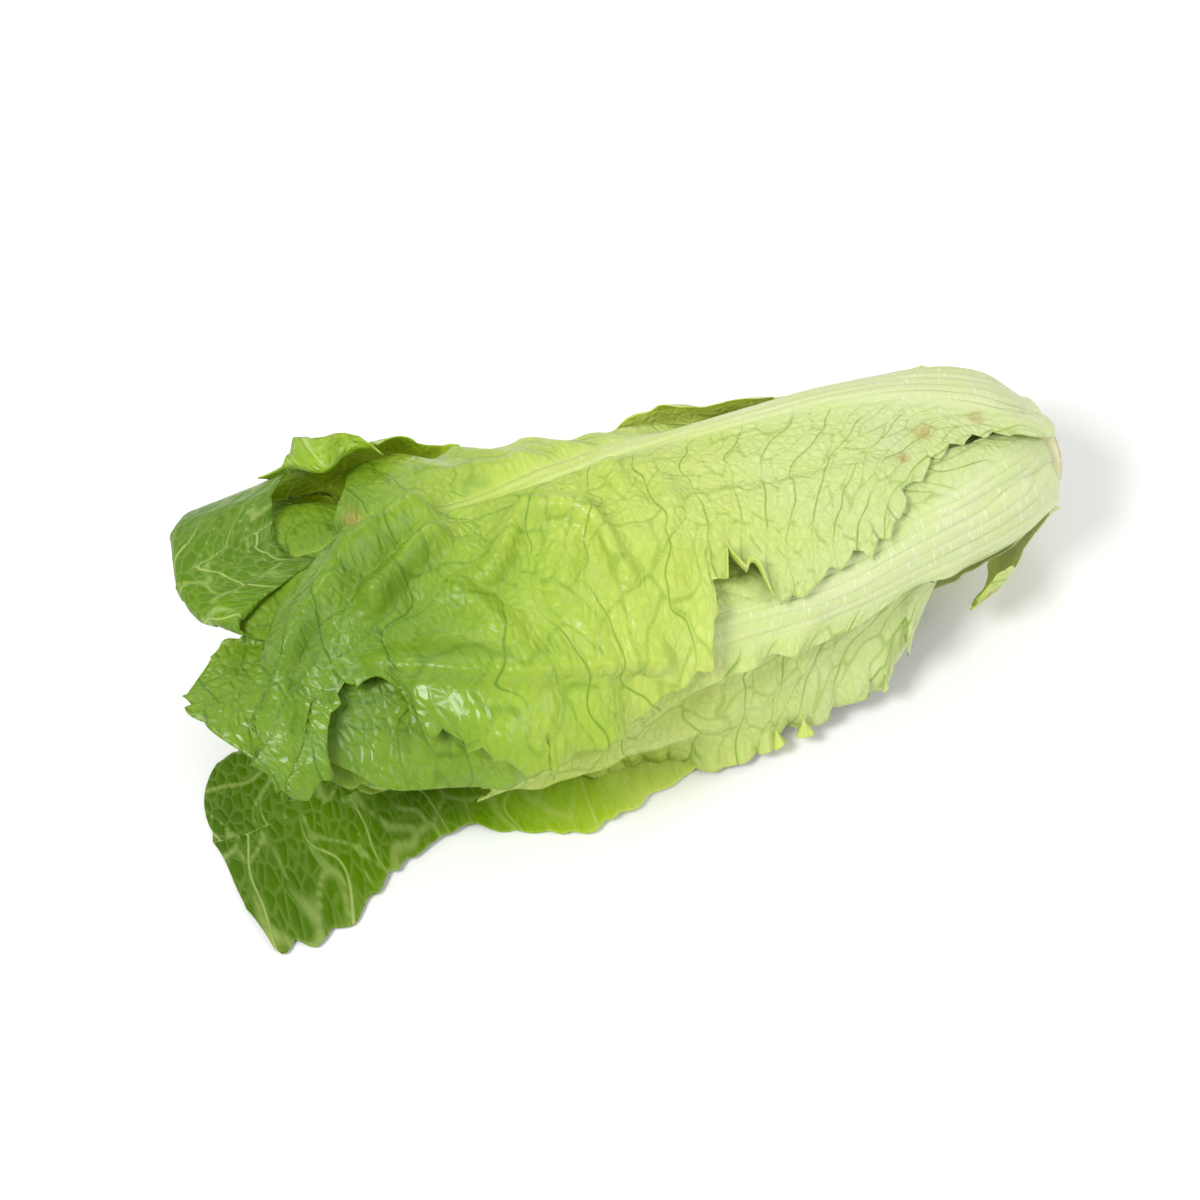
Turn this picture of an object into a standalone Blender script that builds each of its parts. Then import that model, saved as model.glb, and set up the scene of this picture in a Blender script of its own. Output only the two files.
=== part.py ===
"""A head of romaine lettuce lying on its side, laid up leaf by leaf from the heart outwards.

The head's axis runs along X, with the cut butt of the stem at +X and the leaf tips at -X.
A place on the head is given by its station, the distance from the butt as a share of the
head's length, its angle about the axis, and its radius from the axis. Angles are in degrees:
0 is up, 90 is towards -Y (the front), 180 is down and -90 is towards +Y (the back).

Each leaf is a closed sheet with a thick rib. Its inner face follows its own share of the
head's outline, and is pushed out wherever the leaves already laid inside it need the room.
"""

from dataclasses import dataclass

import bpy
import numpy as np

# Overall sizes of the head, in metres.
HEAD_LENGTH = 0.308
HEAD_WIDTH = 0.134
HEAD_HEIGHT = 0.079

# The stem that carries the leaves, and the hollow left in the middle of the heart.
STEM_RADIUS = 0.0145
STEM_TIP_RADIUS = 0.004
STEM_LENGTH = 0.105
STEM_TAPER = 1.6
STEM_SIDES = 24
STEM_RINGS = 12
CUT_BEVEL = 0.0012
HEART_HOLLOW_RADIUS = 0.0065

# Leaf sheets: the thin blade, and the rib, which narrows by a share of its width and thins
# by a power of what is left of its length towards the tip.
BLADE_THICKNESS = 0.0010
RIB_THICKNESS = 0.0044
RIB_HALF_WIDTH = 0.015
RIB_NARROWING = 0.78
RIB_THINNING = 1.3
HEART_RIB_THICKNESS = 0.0022
HEART_RIB_HALF_WIDTH = 0.008
LEAF_GAP = 0.0014
STEM_GAP = 0.0005

# How the leaves lie: the length over which a leaf rises from the stem to its own layer, the
# length over which it leaves the tight bed of its base, the share by which inner leaves open
# out between two stations, the slope that fills the drop past a leaf's tip, and the rounding
# where a leaf meets the bed.
SHOULDER = 0.034
BASE_END = (0.002, 0.016)
TIP_OPENING = 0.34
TIP_OPENING_STATIONS = (0.5, 0.9)
TIP_SLOPE = 0.25
LIFT_SHARES = (0.4, 1.0)
CONTACT_SOFTNESS = 0.0006

# The surface the head rests on: how far the lowest leaf's flat lies below the leaves above it.
REST_GAP = 0.0022
FLATNESS = 0.00001
LYING_DIRECTIONS = (0.2, 0.4)

# Meshes: rows run from the base of a leaf to its tip, columns from edge to edge, and each
# patch is split this many times when the leaf is laid on the bed.
OUTER_ROWS = 22
OUTER_COLUMNS = 12
INNER_ROWS = 13
INNER_COLUMNS = 9
BED_STATION_STEP = 0.0015
BED_ANGLE_STEP = 2.0
BASE_CROWDING = 0.14
LAYING_DETAIL = 6

# The head's outline: station, then shares of the half width to the front and to the back,
# and of the half height.
HEAD_OUTLINE = (
    (0.00, 0.22, 0.22, 0.40),
    (0.04, 0.40, 0.43, 0.74),
    (0.12, 0.53, 0.60, 0.96),
    (0.22, 0.65, 0.68, 1.05),
    (0.32, 0.74, 0.69, 1.06),
    (0.45, 0.84, 0.71, 1.03),
    (0.58, 0.92, 0.80, 0.98),
    (0.72, 0.98, 0.96, 0.94),
    (0.86, 1.00, 1.08, 0.88),
    (1.00, 0.96, 1.10, 0.80),
)
# The half height below the axis as a share of the one above, the roundness of the outline
# above and below, and the span of directions over which one passes into the other.
BELOW_SHARE = 0.78
TOP_ROUNDNESS = 2.2
BOTTOM_ROUNDNESS = 3.6
TURN = (-0.5, 0.5)

# Colours of the parts, linear RGB.
HEART_YELLOW = (0.62, 0.70, 0.22)
RIB_WHITE = (0.64, 0.74, 0.40)
FRESH_GREEN = (0.24, 0.42, 0.06)
DEEP_GREEN = (0.10, 0.24, 0.02)
CUT_BROWN = (0.52, 0.44, 0.24)
LEAF_ROUGHNESS = 0.42
CUT_ROUGHNESS = 0.7


@dataclass
class Leaf:
    """One leaf.

    An outline row is (station, low edge angle, rib angle, high edge angle). A flare row is
    (station, how far the low edge stands off the head, how far the high edge does). A sprawl
    is the two stations between which the leaf comes down flat.
    """

    name: str
    layer: float
    outline: tuple
    colour: tuple
    tip_round: float = 0.05
    rib_thickness: float = RIB_THICKNESS
    rib_half_width: float = RIB_HALF_WIDTH
    rows: int = OUTER_ROWS
    columns: int = OUTER_COLUMNS
    sprawl: tuple = ()
    flare: tuple = ((0.0, 0.0, 0.0), (1.0, 0.0, 0.0))
    tip_lift: float = 0.0


OUTER_LEAVES = (
    Leaf(
        "near_tip_leaf",
        0.68,
        (
            (0.064, -20, 22, 64),
            (0.20, -22, 22, 66),
            (0.45, -30, 24, 78),
            (0.70, -35, 26, 84),
            (0.86, -25, 28, 80),
            (0.965, -8, 30, 66),
        ),
        FRESH_GREEN,
    ),
    Leaf(
        "far_tip_leaf",
        0.72,
        (
            (0.052, -84, -42, 0),
            (0.20, -86, -42, 2),
            (0.45, -96, -40, 14),
            (0.70, -98, -40, 20),
            (0.86, -92, -42, 14),
            (0.985, -76, -46, -8),
        ),
        DEEP_GREEN,
        tip_lift=0.007,
    ),
    Leaf(
        "front_low_leaf",
        0.84,
        (
            (0.042, 60, 84, 146),
            (0.10, 56, 80, 122),
            (0.15, 54, 76, 98),
            (0.19, 52, 74, 86),
            (0.21, 52, 72, 97),
            (0.235, 50, 72, 110),
            (0.28, 50, 72, 117),
            (0.36, 50, 72, 122),
            (0.45, 48, 72, 128),
            (0.58, 50, 74, 134),
            (0.68, 60, 84, 136),
            (0.73, 72, 96, 132),
        ),
        FRESH_GREEN,
        tip_round=0.03,
        flare=(
            (0.12, 0.0, 0.0),
            (0.20, 0.0, 0.006),
            (0.25, 0.0, 0.020),
            (0.32, 0.0, 0.022),
            (0.42, 0.0, 0.019),
            (0.55, 0.0, 0.016),
            (0.66, 0.0, 0.013),
            (0.73, 0.0, 0.006),
        ),
    ),
    Leaf(
        "front_leaf",
        0.90,
        (
            (0.032, 8, 52, 98),
            (0.10, 14, 58, 100),
            (0.15, 16, 61, 89),
            (0.19, 16, 62, 82),
            (0.22, 16, 63, 80),
            (0.30, 14, 66, 84),
            (0.35, 12, 66, 83),
            (0.44, 8, 63, 76),
            (0.50, 2, 60, 78),
            (0.58, -2, 56, 84),
            (0.68, -4, 52, 86),
            (0.78, 0, 48, 80),
            (0.84, 8, 44, 73),
            (0.885, 18, 42, 62),
        ),
        FRESH_GREEN,
        tip_round=0.03,
    ),
    Leaf(
        "back_low_leaf",
        0.92,
        (
            (0.024, -172, -128, -86),
            (0.15, -172, -128, -88),
            (0.30, -186, -130, -84),
            (0.50, -196, -134, -86),
            (0.70, -190, -132, -90),
            (0.84, -166, -130, -102),
        ),
        FRESH_GREEN,
    ),
    Leaf(
        "top_leaf",
        0.95,
        (
            (0.016, -66, -20, 26),
            (0.06, -68, -24, 20),
            (0.10, -72, -28, 12),
            (0.16, -78, -36, 17),
            (0.22, -82, -42, 36),
            (0.266, -84, -45, 46),
            (0.333, -86, -48, 51),
            (0.38, -87, -49, 50),
            (0.415, -87, -49, 40),
            (0.446, -87, -48, 42),
            (0.47, -87, -47, 62),
            (0.52, -87, -44, 70),
            (0.60, -86, -39, 72),
            (0.66, -84, -37, 72),
            (0.70, -79, -37, 68),
            (0.745, -64, -34, 60),
            (0.775, -46, -24, 52),
            (0.80, -30, -8, 40),
            (0.83, -16, 8, 36),
            (0.86, -5, 20, 46),
            (0.885, 8, 34, 63),
            (0.905, 24, 44, 66),
            (0.93, 46, 54, 64),
        ),
        FRESH_GREEN,
        tip_round=0.02,
    ),
    Leaf(
        "back_leaf",
        0.97,
        (
            (0.010, -134, -100, -64),
            (0.14, -136, -102, -72),
            (0.22, -140, -102, -74),
            (0.30, -142, -102, -71),
            (0.42, -143, -100, -70),
            (0.52, -144, -96, -69),
            (0.62, -142, -92, -66),
            (0.70, -138, -90, -58),
            (0.78, -124, -86, -52),
            (0.84, -110, -84, -60),
        ),
        FRESH_GREEN,
        flare=((0.12, 0.0, -0.004), (0.62, 0.0, -0.004), (0.74, 0.0, 0.008), (0.84, 0.0, 0.012)),
    ),
    Leaf(
        "under_leaf",
        1.00,
        (
            (0.004, 116, 156, 200),
            (0.09, 134, 164, 204),
            (0.16, 152, 170, 208),
            (0.24, 152, 170, 210),
            (0.32, 148, 166, 212),
            (0.40, 140, 160, 212),
            (0.50, 133, 156, 214),
            (0.61, 128, 156, 214),
            (0.70, 129, 156, 210),
            (0.76, 131, 156, 206),
            (0.84, 128, 154, 202),
            (0.94, 122, 152, 194),
            (1.00, 123, 152, 184),
        ),
        DEEP_GREEN,
        tip_round=0.02,
        sprawl=(0.09, 0.20),
    ),
    Leaf(
        "torn_leaf",
        1.00,
        (
            (0.003, 108, 121, 136),
            (0.06, 112, 122, 134),
            (0.10, 115, 124, 134),
            (0.15, 118, 126, 134),
        ),
        RIB_WHITE,
        tip_round=0.01,
        rib_thickness=0.0030,
        rib_half_width=0.006,
        rows=INNER_ROWS,
        columns=6,
        tip_lift=0.001,
    ),
)

# The leaves inside, from the heart outwards. Each turns by the golden angle from the last.
# A pair holds the innermost leaf's value and the outermost's: the layer, the first and last
# station, and the angle from the rib to an edge at the base and where the leaf is widest.
GOLDEN_ANGLE = 137.5
HEART_LEAVES = 5
MIDDLE_LEAVES = 6
INNER_LAYERS = (0.20, 0.66)
INNER_STARTS = (0.29, 0.08)
INNER_ENDS = (0.66, 0.90)
INNER_BASE_SPREADS = (52, 44)
INNER_SPREADS = (90, 58)
INNER_TIP_SHARE = 0.66


def smooth_curve(at, knots, values):
    """A smooth curve through (knots, values): cubic pieces whose slopes come from their neighbours."""
    knots = np.asarray(knots, float)
    values = np.asarray(values, float)
    slopes = np.gradient(values, knots)
    at = np.clip(at, knots[0], knots[-1])
    piece = np.clip(np.searchsorted(knots, at) - 1, 0, len(knots) - 2)
    span = knots[piece + 1] - knots[piece]
    t = (at - knots[piece]) / span
    start, end = values[piece], values[piece + 1]
    leaving, arriving = slopes[piece] * span, slopes[piece + 1] * span
    return (
        start * (1 + 2 * t) * (1 - t) ** 2
        + leaving * t * (1 - t) ** 2
        + end * t**2 * (3 - 2 * t)
        - arriving * t**2 * (1 - t)
    )


def smooth_step(at, low, high):
    """0 below low, 1 above high, and an S curve between."""
    t = np.clip((at - low) / (high - low), 0, 1)
    return t * t * (3 - 2 * t)


def between(pair, share):
    """The value that lies a share of the way from a pair's first value to its second."""
    return pair[0] + (pair[1] - pair[0]) * share


def smooth_max(first, second, softness):
    """The larger of two surfaces, rounded where they cross, and never below either."""
    return (first + second + np.sqrt((first - second) ** 2 + softness**2)) / 2


def head_radius(station, angle):
    """The radius of the whole head at a station and angle: round above, flat below."""
    shares = np.array(HEAD_OUTLINE)
    front, back, height = (smooth_curve(station, shares[:, 0], shares[:, i]) for i in (1, 2, 3))
    sideways = np.sin(np.radians(angle))
    half_width = (back + (front - back) * smooth_step(sideways, *TURN)) * HEAD_WIDTH / 2
    upward = np.cos(np.radians(angle))
    is_top = smooth_step(upward, *TURN)
    half_height = height * (BELOW_SHARE + (1 - BELOW_SHARE) * is_top) * HEAD_HEIGHT / 2
    across = np.abs(sideways) / half_width
    upright = np.abs(upward) / half_height
    power = BOTTOM_ROUNDNESS + (TOP_ROUNDNESS - BOTTOM_ROUNDNESS) * is_top
    return (across**power + upright**power) ** (-1 / power)


def stem_radius(station):
    """The stem's radius: full at the butt, narrowing to its tip inside the heart."""
    along = np.clip(station * HEAD_LENGTH / STEM_LENGTH, 0, 1)
    return STEM_TIP_RADIUS + (STEM_RADIUS - STEM_TIP_RADIUS) * np.sqrt(1 - along**STEM_TAPER)


def to_space(station, angle, radius):
    """Points in metres from station, angle and radius, with the axis through the origin."""
    station, turn, radius = np.broadcast_arrays(station, np.radians(angle), radius)
    along = -station * HEAD_LENGTH
    return np.stack([along, -radius * np.sin(turn), radius * np.cos(turn)], axis=-1)


def to_head(points):
    """Station, angle and radius of points in space."""
    station = -points[..., 0] / HEAD_LENGTH
    angle = np.degrees(np.arctan2(-points[..., 1], points[..., 2]))
    return station, angle, np.hypot(points[..., 1], points[..., 2])


def face_normals(points):
    """Unit normals of a grid of points, pointing away from the head's axis."""
    along = np.gradient(points, axis=0)
    across = np.gradient(points, axis=1)
    normals = np.cross(along, across)
    normals /= np.linalg.norm(normals, axis=-1, keepdims=True)
    return normals


def finer_grid(points, times):
    """The grid's own flat patches sampled more finely, by straight lines between its points."""
    rows = np.linspace(0, points.shape[0] - 1, (points.shape[0] - 1) * times + 1)
    columns = np.linspace(0, points.shape[1] - 1, (points.shape[1] - 1) * times + 1)
    low = np.minimum(rows.astype(int), points.shape[0] - 2)
    share = (rows - low)[:, None, None]
    points = points[low] * (1 - share) + points[low + 1] * share
    low = np.minimum(columns.astype(int), points.shape[1] - 2)
    share = (columns - low)[None, :, None]
    return points[:, low] * (1 - share) + points[:, low + 1] * share


class Bed:
    """The outer radius of everything laid so far, on a grid of stations and angles."""

    FIRST_STATION = -0.05
    LAST_STATION = 1.08
    TIGHT_REACH = 1
    WIDE_REACH = 4

    def __init__(self):
        step = BED_STATION_STEP / HEAD_LENGTH
        self.stations = np.arange(self.FIRST_STATION, self.LAST_STATION, step)
        self.angles = np.arange(0.0, 360.0, BED_ANGLE_STEP)
        core = np.where(
            self.stations * HEAD_LENGTH < STEM_LENGTH,
            np.maximum(stem_radius(self.stations), HEART_HOLLOW_RADIUS),
            HEART_HOLLOW_RADIUS,
        )
        self.radius = np.repeat(core[:, None], len(self.angles), axis=1)

    def cells(self, station, angle):
        """The grid row and column, as fractions, of places on the head."""
        row = (station - self.stations[0]) / (self.stations[1] - self.stations[0])
        row = np.clip(row, 0, len(self.stations) - 1.001)
        return row, np.mod(angle, 360.0) / BED_ANGLE_STEP

    def lay(self, points):
        """Raises the bed to a leaf's outer face."""
        station, angle, radius = to_head(points)
        row, column = self.cells(station, angle)
        for down in (0, 1):
            for right in (0, 1):
                place = (
                    row.astype(int) + down,
                    (column.astype(int) + right) % len(self.angles),
                )
                np.maximum.at(self.radius, place, radius)

    def sloped(self):
        """The bed with the drop past each leaf's tip filled in to a gentle slope."""
        filled = self.radius.copy()
        drop = TIP_SLOPE * BED_STATION_STEP
        for row in range(1, len(filled)):
            filled[row] = np.maximum(filled[row], filled[row - 1] - drop)
        return filled

    def eased(self, reach):
        """The bed widened by reach cells and then averaged over as many, so never below it."""
        shifts = range(-reach, reach + 1)
        wide = self.sloped()
        for axis in (0, 1):
            wide = np.max([self.shifted(wide, shift, axis) for shift in shifts], axis=0)
        for axis in (0, 1):
            wide = np.mean([self.shifted(wide, shift, axis) for shift in shifts], axis=0)
        return wide

    @staticmethod
    def shifted(grid, shift, axis):
        """The grid moved by a few cells: angles wrap round, stations repeat the end ones."""
        if axis == 1:
            return np.roll(grid, shift, axis=1)
        rows = np.clip(np.arange(len(grid)) + shift, 0, len(grid) - 1)
        return grid[rows]

    def radius_at(self, grid, station, angle):
        """A grid's radius at places on the head, by straight lines between cells."""
        row, column = self.cells(station, angle)
        low_row, low_column = row.astype(int), column.astype(int)
        row_share, column_share = row - low_row, column - low_column
        next_column = (low_column + 1) % len(self.angles)
        low_column = low_column % len(self.angles)
        near = grid[low_row, low_column] * (1 - column_share)
        near += grid[low_row, next_column] * column_share
        far = grid[low_row + 1, low_column] * (1 - column_share)
        far += grid[low_row + 1, next_column] * column_share
        return near * (1 - row_share) + far * row_share

    def room_for(self, station, angle, start):
        """The least radius of a new leaf's inner face: close to the bed at its base, eased beyond."""
        tight = self.radius_at(self.eased(self.TIGHT_REACH), station, angle)
        wide = self.radius_at(self.eased(self.WIDE_REACH), station, angle)
        share = smooth_step((station - start) * HEAD_LENGTH, *BASE_END)
        return tight + (np.maximum(wide, tight) - tight) * share + LEAF_GAP


def leaf_places(leaf):
    """Station and angle of each grid point of a leaf, and its shares along and across."""
    rows = np.array(leaf.outline, float)
    along = np.linspace(0, 1, leaf.rows + 1)[:, None]
    across = np.linspace(-1, 1, leaf.columns + 1)[None, :]
    crowded = along * (along + BASE_CROWDING) / (1 + BASE_CROWDING)
    start, end = rows[0, 0], rows[-1, 0]
    middle = start + (end - start) * crowded
    low, rib, high = (smooth_curve(middle, rows[:, 0], rows[:, i]) for i in (1, 2, 3))
    angle = rib + across * np.where(across < 0, rib - low, high - rib)
    station = middle - leaf.tip_round * across**2 * along**4
    return station, angle, along, across


def sheet_thickness(leaf, station, angle, along):
    """Thickness over a leaf: a rib that thins towards the tip, and the blade beside it."""
    rows = np.array(leaf.outline, float)
    rib = smooth_curve(station, rows[:, 0], rows[:, 2])
    mean_radius = leaf.layer * head_radius(station, rib)
    away = np.radians(angle - rib) * mean_radius
    half_width = leaf.rib_half_width * (1 - RIB_NARROWING * along)
    height = (leaf.rib_thickness - BLADE_THICKNESS) * (1 - along) ** RIB_THINNING
    return BLADE_THICKNESS + height * np.exp(-((away / half_width) ** 2))


def leaf_inner_face(leaf, bed):
    """Station, angle, radius and thickness over the inner face of a leaf."""
    station, angle, along, across = leaf_places(leaf)
    start = leaf.outline[0][0]
    thickness = sheet_thickness(leaf, station, angle, along)
    rise = np.clip((station - start) * HEAD_LENGTH / SHOULDER, 0, 1)
    shoulder = np.sqrt(1 - (1 - rise) ** 2)
    foot = stem_radius(station) + STEM_GAP
    opening = TIP_OPENING * (1 - leaf.layer) * smooth_step(station, *TIP_OPENING_STATIONS)
    radius = foot + ((leaf.layer + opening) * head_radius(station, angle) - foot) * shoulder
    radius = radius + leaf.tip_lift * smooth_step(along, *LIFT_SHARES)
    flare = np.array(leaf.flare)
    low_flare, high_flare = (smooth_curve(station, flare[:, 0], flare[:, i]) for i in (1, 2))
    radius = radius + np.abs(across) ** 3 * np.where(across < 0, low_flare, high_flare)
    room = bed.room_for(station, angle, start)
    radius = smooth_max(radius, room, CONTACT_SOFTNESS)
    return station, angle, radius, thickness


def lay_flat(leaf, bed, station, angle, radius, thickness):
    """Radii that bring the downward part of a leaf onto the resting plane, and the plane's depth."""
    facing_down = np.maximum(-np.cos(np.radians(bed.angles)), 0)[None, :]
    lying = station[:, leaf.columns // 2] > leaf.sprawl[1]
    depth = (bed.radius * facing_down).max() + REST_GAP + thickness[lying].max()
    downward = -np.cos(np.radians(angle))
    on_plane = (depth - thickness) / np.maximum(downward, LYING_DIRECTIONS[0])
    share = smooth_step(station, *leaf.sprawl) * smooth_step(downward, *LYING_DIRECTIONS)
    return radius + (on_plane - radius) * np.where(radius > on_plane, 1, share), depth


def sheet_mesh(name, inner, outer):
    """A closed mesh from the inner and outer face of a sheet, joined round the edge."""
    rows, columns = inner.shape[:2]
    count = rows * columns
    index = np.arange(count).reshape(rows, columns)
    low, right = index[:-1, :-1], index[:-1, 1:]
    high, both = index[1:, :-1], index[1:, 1:]
    inside = np.stack([low, right, both, high], axis=-1).reshape(-1, 4)
    outside = inside[:, ::-1] + count
    loop = np.concatenate([index[0, :-1], index[:-1, -1], index[-1, :0:-1], index[:0:-1, 0]])
    following = np.roll(loop, -1)
    rim = np.stack([following, loop, loop + count, following + count], axis=-1)
    points = np.concatenate([inner.reshape(-1, 3), outer.reshape(-1, 3)])
    faces = np.concatenate([inside, outside, rim])
    mesh = bpy.data.meshes.new(name)
    mesh.from_pydata(points.tolist(), [], faces.tolist())
    mesh.validate()
    return mesh


def material(name, colour, roughness):
    """A plain Principled material, made once for each name."""
    found = bpy.data.materials.get(name)
    if found:
        return found
    made = bpy.data.materials.new(name)
    made.use_nodes = True
    shader = made.node_tree.nodes["Principled BSDF"]
    shader.inputs["Base Color"].default_value = (*colour, 1)
    shader.inputs["Roughness"].default_value = roughness
    shader.inputs["Metallic"].default_value = 0.0
    return made


def add_object(name, mesh, finish):
    """Links a mesh to the scene as a named object, shaded smooth."""
    mesh.materials.append(finish)
    mesh.shade_smooth()
    made = bpy.data.objects.new(name, mesh)
    bpy.context.scene.collection.objects.link(made)
    return made


def add_leaf(leaf, bed):
    """Lays one leaf on the bed and adds its solid."""
    station, angle, radius, thickness = leaf_inner_face(leaf, bed)
    depth = np.inf
    if leaf.sprawl:
        radius, depth = lay_flat(leaf, bed, station, angle, radius, thickness)
    inner = to_space(station, angle, radius)
    outer = inner + face_normals(inner) * thickness[..., None]
    on_plane = inner[..., 2] < thickness - depth + FLATNESS
    outer[on_plane] = inner[on_plane] - thickness[on_plane, None] * np.array([0.0, 0.0, 1.0])
    outer[..., 2] = np.maximum(outer[..., 2], -depth)
    bed.lay(finer_grid(outer, LAYING_DETAIL))
    bed.lay(finer_grid(inner, LAYING_DETAIL))
    mesh = sheet_mesh(leaf.name, inner, outer)
    return add_object(leaf.name, mesh, material(leaf.name, leaf.colour, LEAF_ROUGHNESS))


def inner_leaves():
    """The heart and middle leaves, smallest first."""
    count = HEART_LEAVES + MIDDLE_LEAVES
    for number in range(count):
        share = number / (count - 1)
        in_heart = number < HEART_LEAVES
        rib = number * GOLDEN_ANGLE
        start = between(INNER_STARTS, share)
        end = between(INNER_ENDS, share)
        base_spread = between(INNER_BASE_SPREADS, share)
        spread = between(INNER_SPREADS, share)
        part = "heart" if in_heart else "middle"
        order = number + 1 if in_heart else number + 1 - HEART_LEAVES
        yield Leaf(
            f"{part}_leaf_{order}",
            between(INNER_LAYERS, share),
            tuple(
                (start + (end - start) * along, rib - side, rib, rib + side)
                for along, side in (
                    (0.0, base_spread),
                    (0.2, base_spread),
                    (0.45, (base_spread + spread) / 2),
                    (0.75, spread),
                    (1.0, spread * INNER_TIP_SHARE),
                )
            ),
            HEART_YELLOW if in_heart else FRESH_GREEN,
            rib_thickness=between((HEART_RIB_THICKNESS, RIB_THICKNESS), share),
            rib_half_width=between((HEART_RIB_HALF_WIDTH, RIB_HALF_WIDTH), share),
            rows=INNER_ROWS,
            columns=INNER_COLUMNS,
        )


def add_stem():
    """The stem: a turned solid with a flat cut butt."""
    stations = np.linspace(0, STEM_LENGTH / HEAD_LENGTH, STEM_RINGS)
    radii = stem_radius(stations)
    stations = np.concatenate([[0.0], [CUT_BEVEL / HEAD_LENGTH], stations[1:]])
    radii = np.concatenate([[radii[0] - CUT_BEVEL], radii])
    angles = np.arange(STEM_SIDES) * 360.0 / STEM_SIDES
    rings = to_space(stations[:, None], angles[None, :], radii[:, None] + 0 * angles[None, :])
    index = np.arange(rings.shape[0] * STEM_SIDES).reshape(-1, STEM_SIDES)
    turned = np.roll(index, -1, axis=1)
    quads = np.stack([index[:-1], index[1:], turned[1:], turned[:-1]], axis=-1).reshape(-1, 4)
    faces = [index[0].tolist(), index[-1, ::-1].tolist(), *quads.tolist()]
    mesh = bpy.data.meshes.new("stem")
    mesh.from_pydata(rings.reshape(-1, 3).tolist(), [], faces)
    return add_object("stem", mesh, material("stem", CUT_BROWN, CUT_ROUGHNESS))


def stand_on_surface(objects):
    """Moves the head so that it rests on z = 0, with the middle of its box over the origin."""
    corners = []
    for made in objects:
        points = np.empty(len(made.data.vertices) * 3)
        made.data.vertices.foreach_get("co", points)
        corners.append(points.reshape(-1, 3))
    points = np.concatenate(corners)
    low, high = points.min(axis=0), points.max(axis=0)
    middle = (low + high) / 2
    for made in objects:
        made.location = (-middle[0], -middle[1], -low[2])


def main():
    """Builds the head."""
    for old in list(bpy.data.objects):
        bpy.data.objects.remove(old)
    bed = Bed()
    made = [add_stem()]
    for leaf in (*inner_leaves(), *OUTER_LEAVES):
        made.append(add_leaf(leaf, bed))
    stand_on_surface(made)


main()
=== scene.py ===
"""The looks of a head of romaine lettuce lying on its side, built leaf by leaf.

A place on the head is given by its station (the distance from the cut butt as a share of the
head's length), its angle about the head's axis in degrees (0 is up, 90 is to the front, 180
is down, -90 is to the back) and its radius from the axis. Every leaf is laid over the leaves
inside it, so no sheet passes through another.
"""

from __future__ import annotations

import logging
import math
from dataclasses import dataclass, field
from enum import Enum

import bpy
import numpy as np
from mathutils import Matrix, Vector


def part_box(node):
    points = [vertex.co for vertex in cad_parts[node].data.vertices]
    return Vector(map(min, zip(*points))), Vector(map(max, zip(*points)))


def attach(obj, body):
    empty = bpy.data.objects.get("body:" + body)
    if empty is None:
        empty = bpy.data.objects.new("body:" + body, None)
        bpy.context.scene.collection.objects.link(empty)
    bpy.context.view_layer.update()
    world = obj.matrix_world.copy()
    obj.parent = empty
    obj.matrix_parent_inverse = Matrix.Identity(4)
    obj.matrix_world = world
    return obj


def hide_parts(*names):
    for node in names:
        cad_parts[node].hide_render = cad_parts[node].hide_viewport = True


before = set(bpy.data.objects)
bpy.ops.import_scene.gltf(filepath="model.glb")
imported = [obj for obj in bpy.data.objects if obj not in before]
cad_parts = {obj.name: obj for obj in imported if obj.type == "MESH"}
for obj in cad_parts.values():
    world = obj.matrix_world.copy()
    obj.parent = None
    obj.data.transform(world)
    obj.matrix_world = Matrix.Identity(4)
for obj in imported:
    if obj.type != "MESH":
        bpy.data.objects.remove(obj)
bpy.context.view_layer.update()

log = logging.getLogger("lettuce")
Grid = np.ndarray
Rows = tuple[tuple[float, ...], ...]
Span = tuple[float, float]
Colour = tuple[int, int, int]
Stops = tuple[tuple[float, Colour], ...]
Socket = bpy.types.NodeSocket
ROOT = "root"


def linear(red: float, green: float, blue: float) -> tuple[float, float, float, float]:
    """Turns a display colour into linear RGB by the sRGB curve.

    Args:
        red: 0 to 255.
        green: 0 to 255.
        blue: 0 to 255.

    Returns:
        Linear red, green and blue from 0 to 1, and full alpha.
    """
    shares = (np.array([red, green, blue]) / 255.0).clip(0, 1)
    low, high = shares / 12.92, ((shares + 0.055) / 1.055) ** 2.4
    mixed = np.where(shares <= 0.04045, low, high)
    return (*(float(value) for value in mixed), 1.0)


def smooth_step(at: Grid, low: float, high: float) -> Grid:
    """0 below low, 1 above high, and the S curve 3t^2 - 2t^3 between."""
    t = np.clip((at - low) / (high - low), 0, 1)
    return t * t * (3 - 2 * t)


def window(at: Grid, rise: Span, fall: Span) -> Grid:
    """0 before the rise, 1 between it and the fall, and 0 after, eased by the S curve."""
    return smooth_step(at, *rise) * (1 - smooth_step(at, *fall))


def between(share: float, first: float, last: float) -> float:
    """The value that far on the straight way from the first to the last."""
    return first + (last - first) * share


def smooth_max(first: Grid, second: Grid, softness: float) -> Grid:
    """Half of the sum plus the rounded difference: never below either surface."""
    return (first + second + np.sqrt((first - second) ** 2 + softness**2)) / 2


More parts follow.
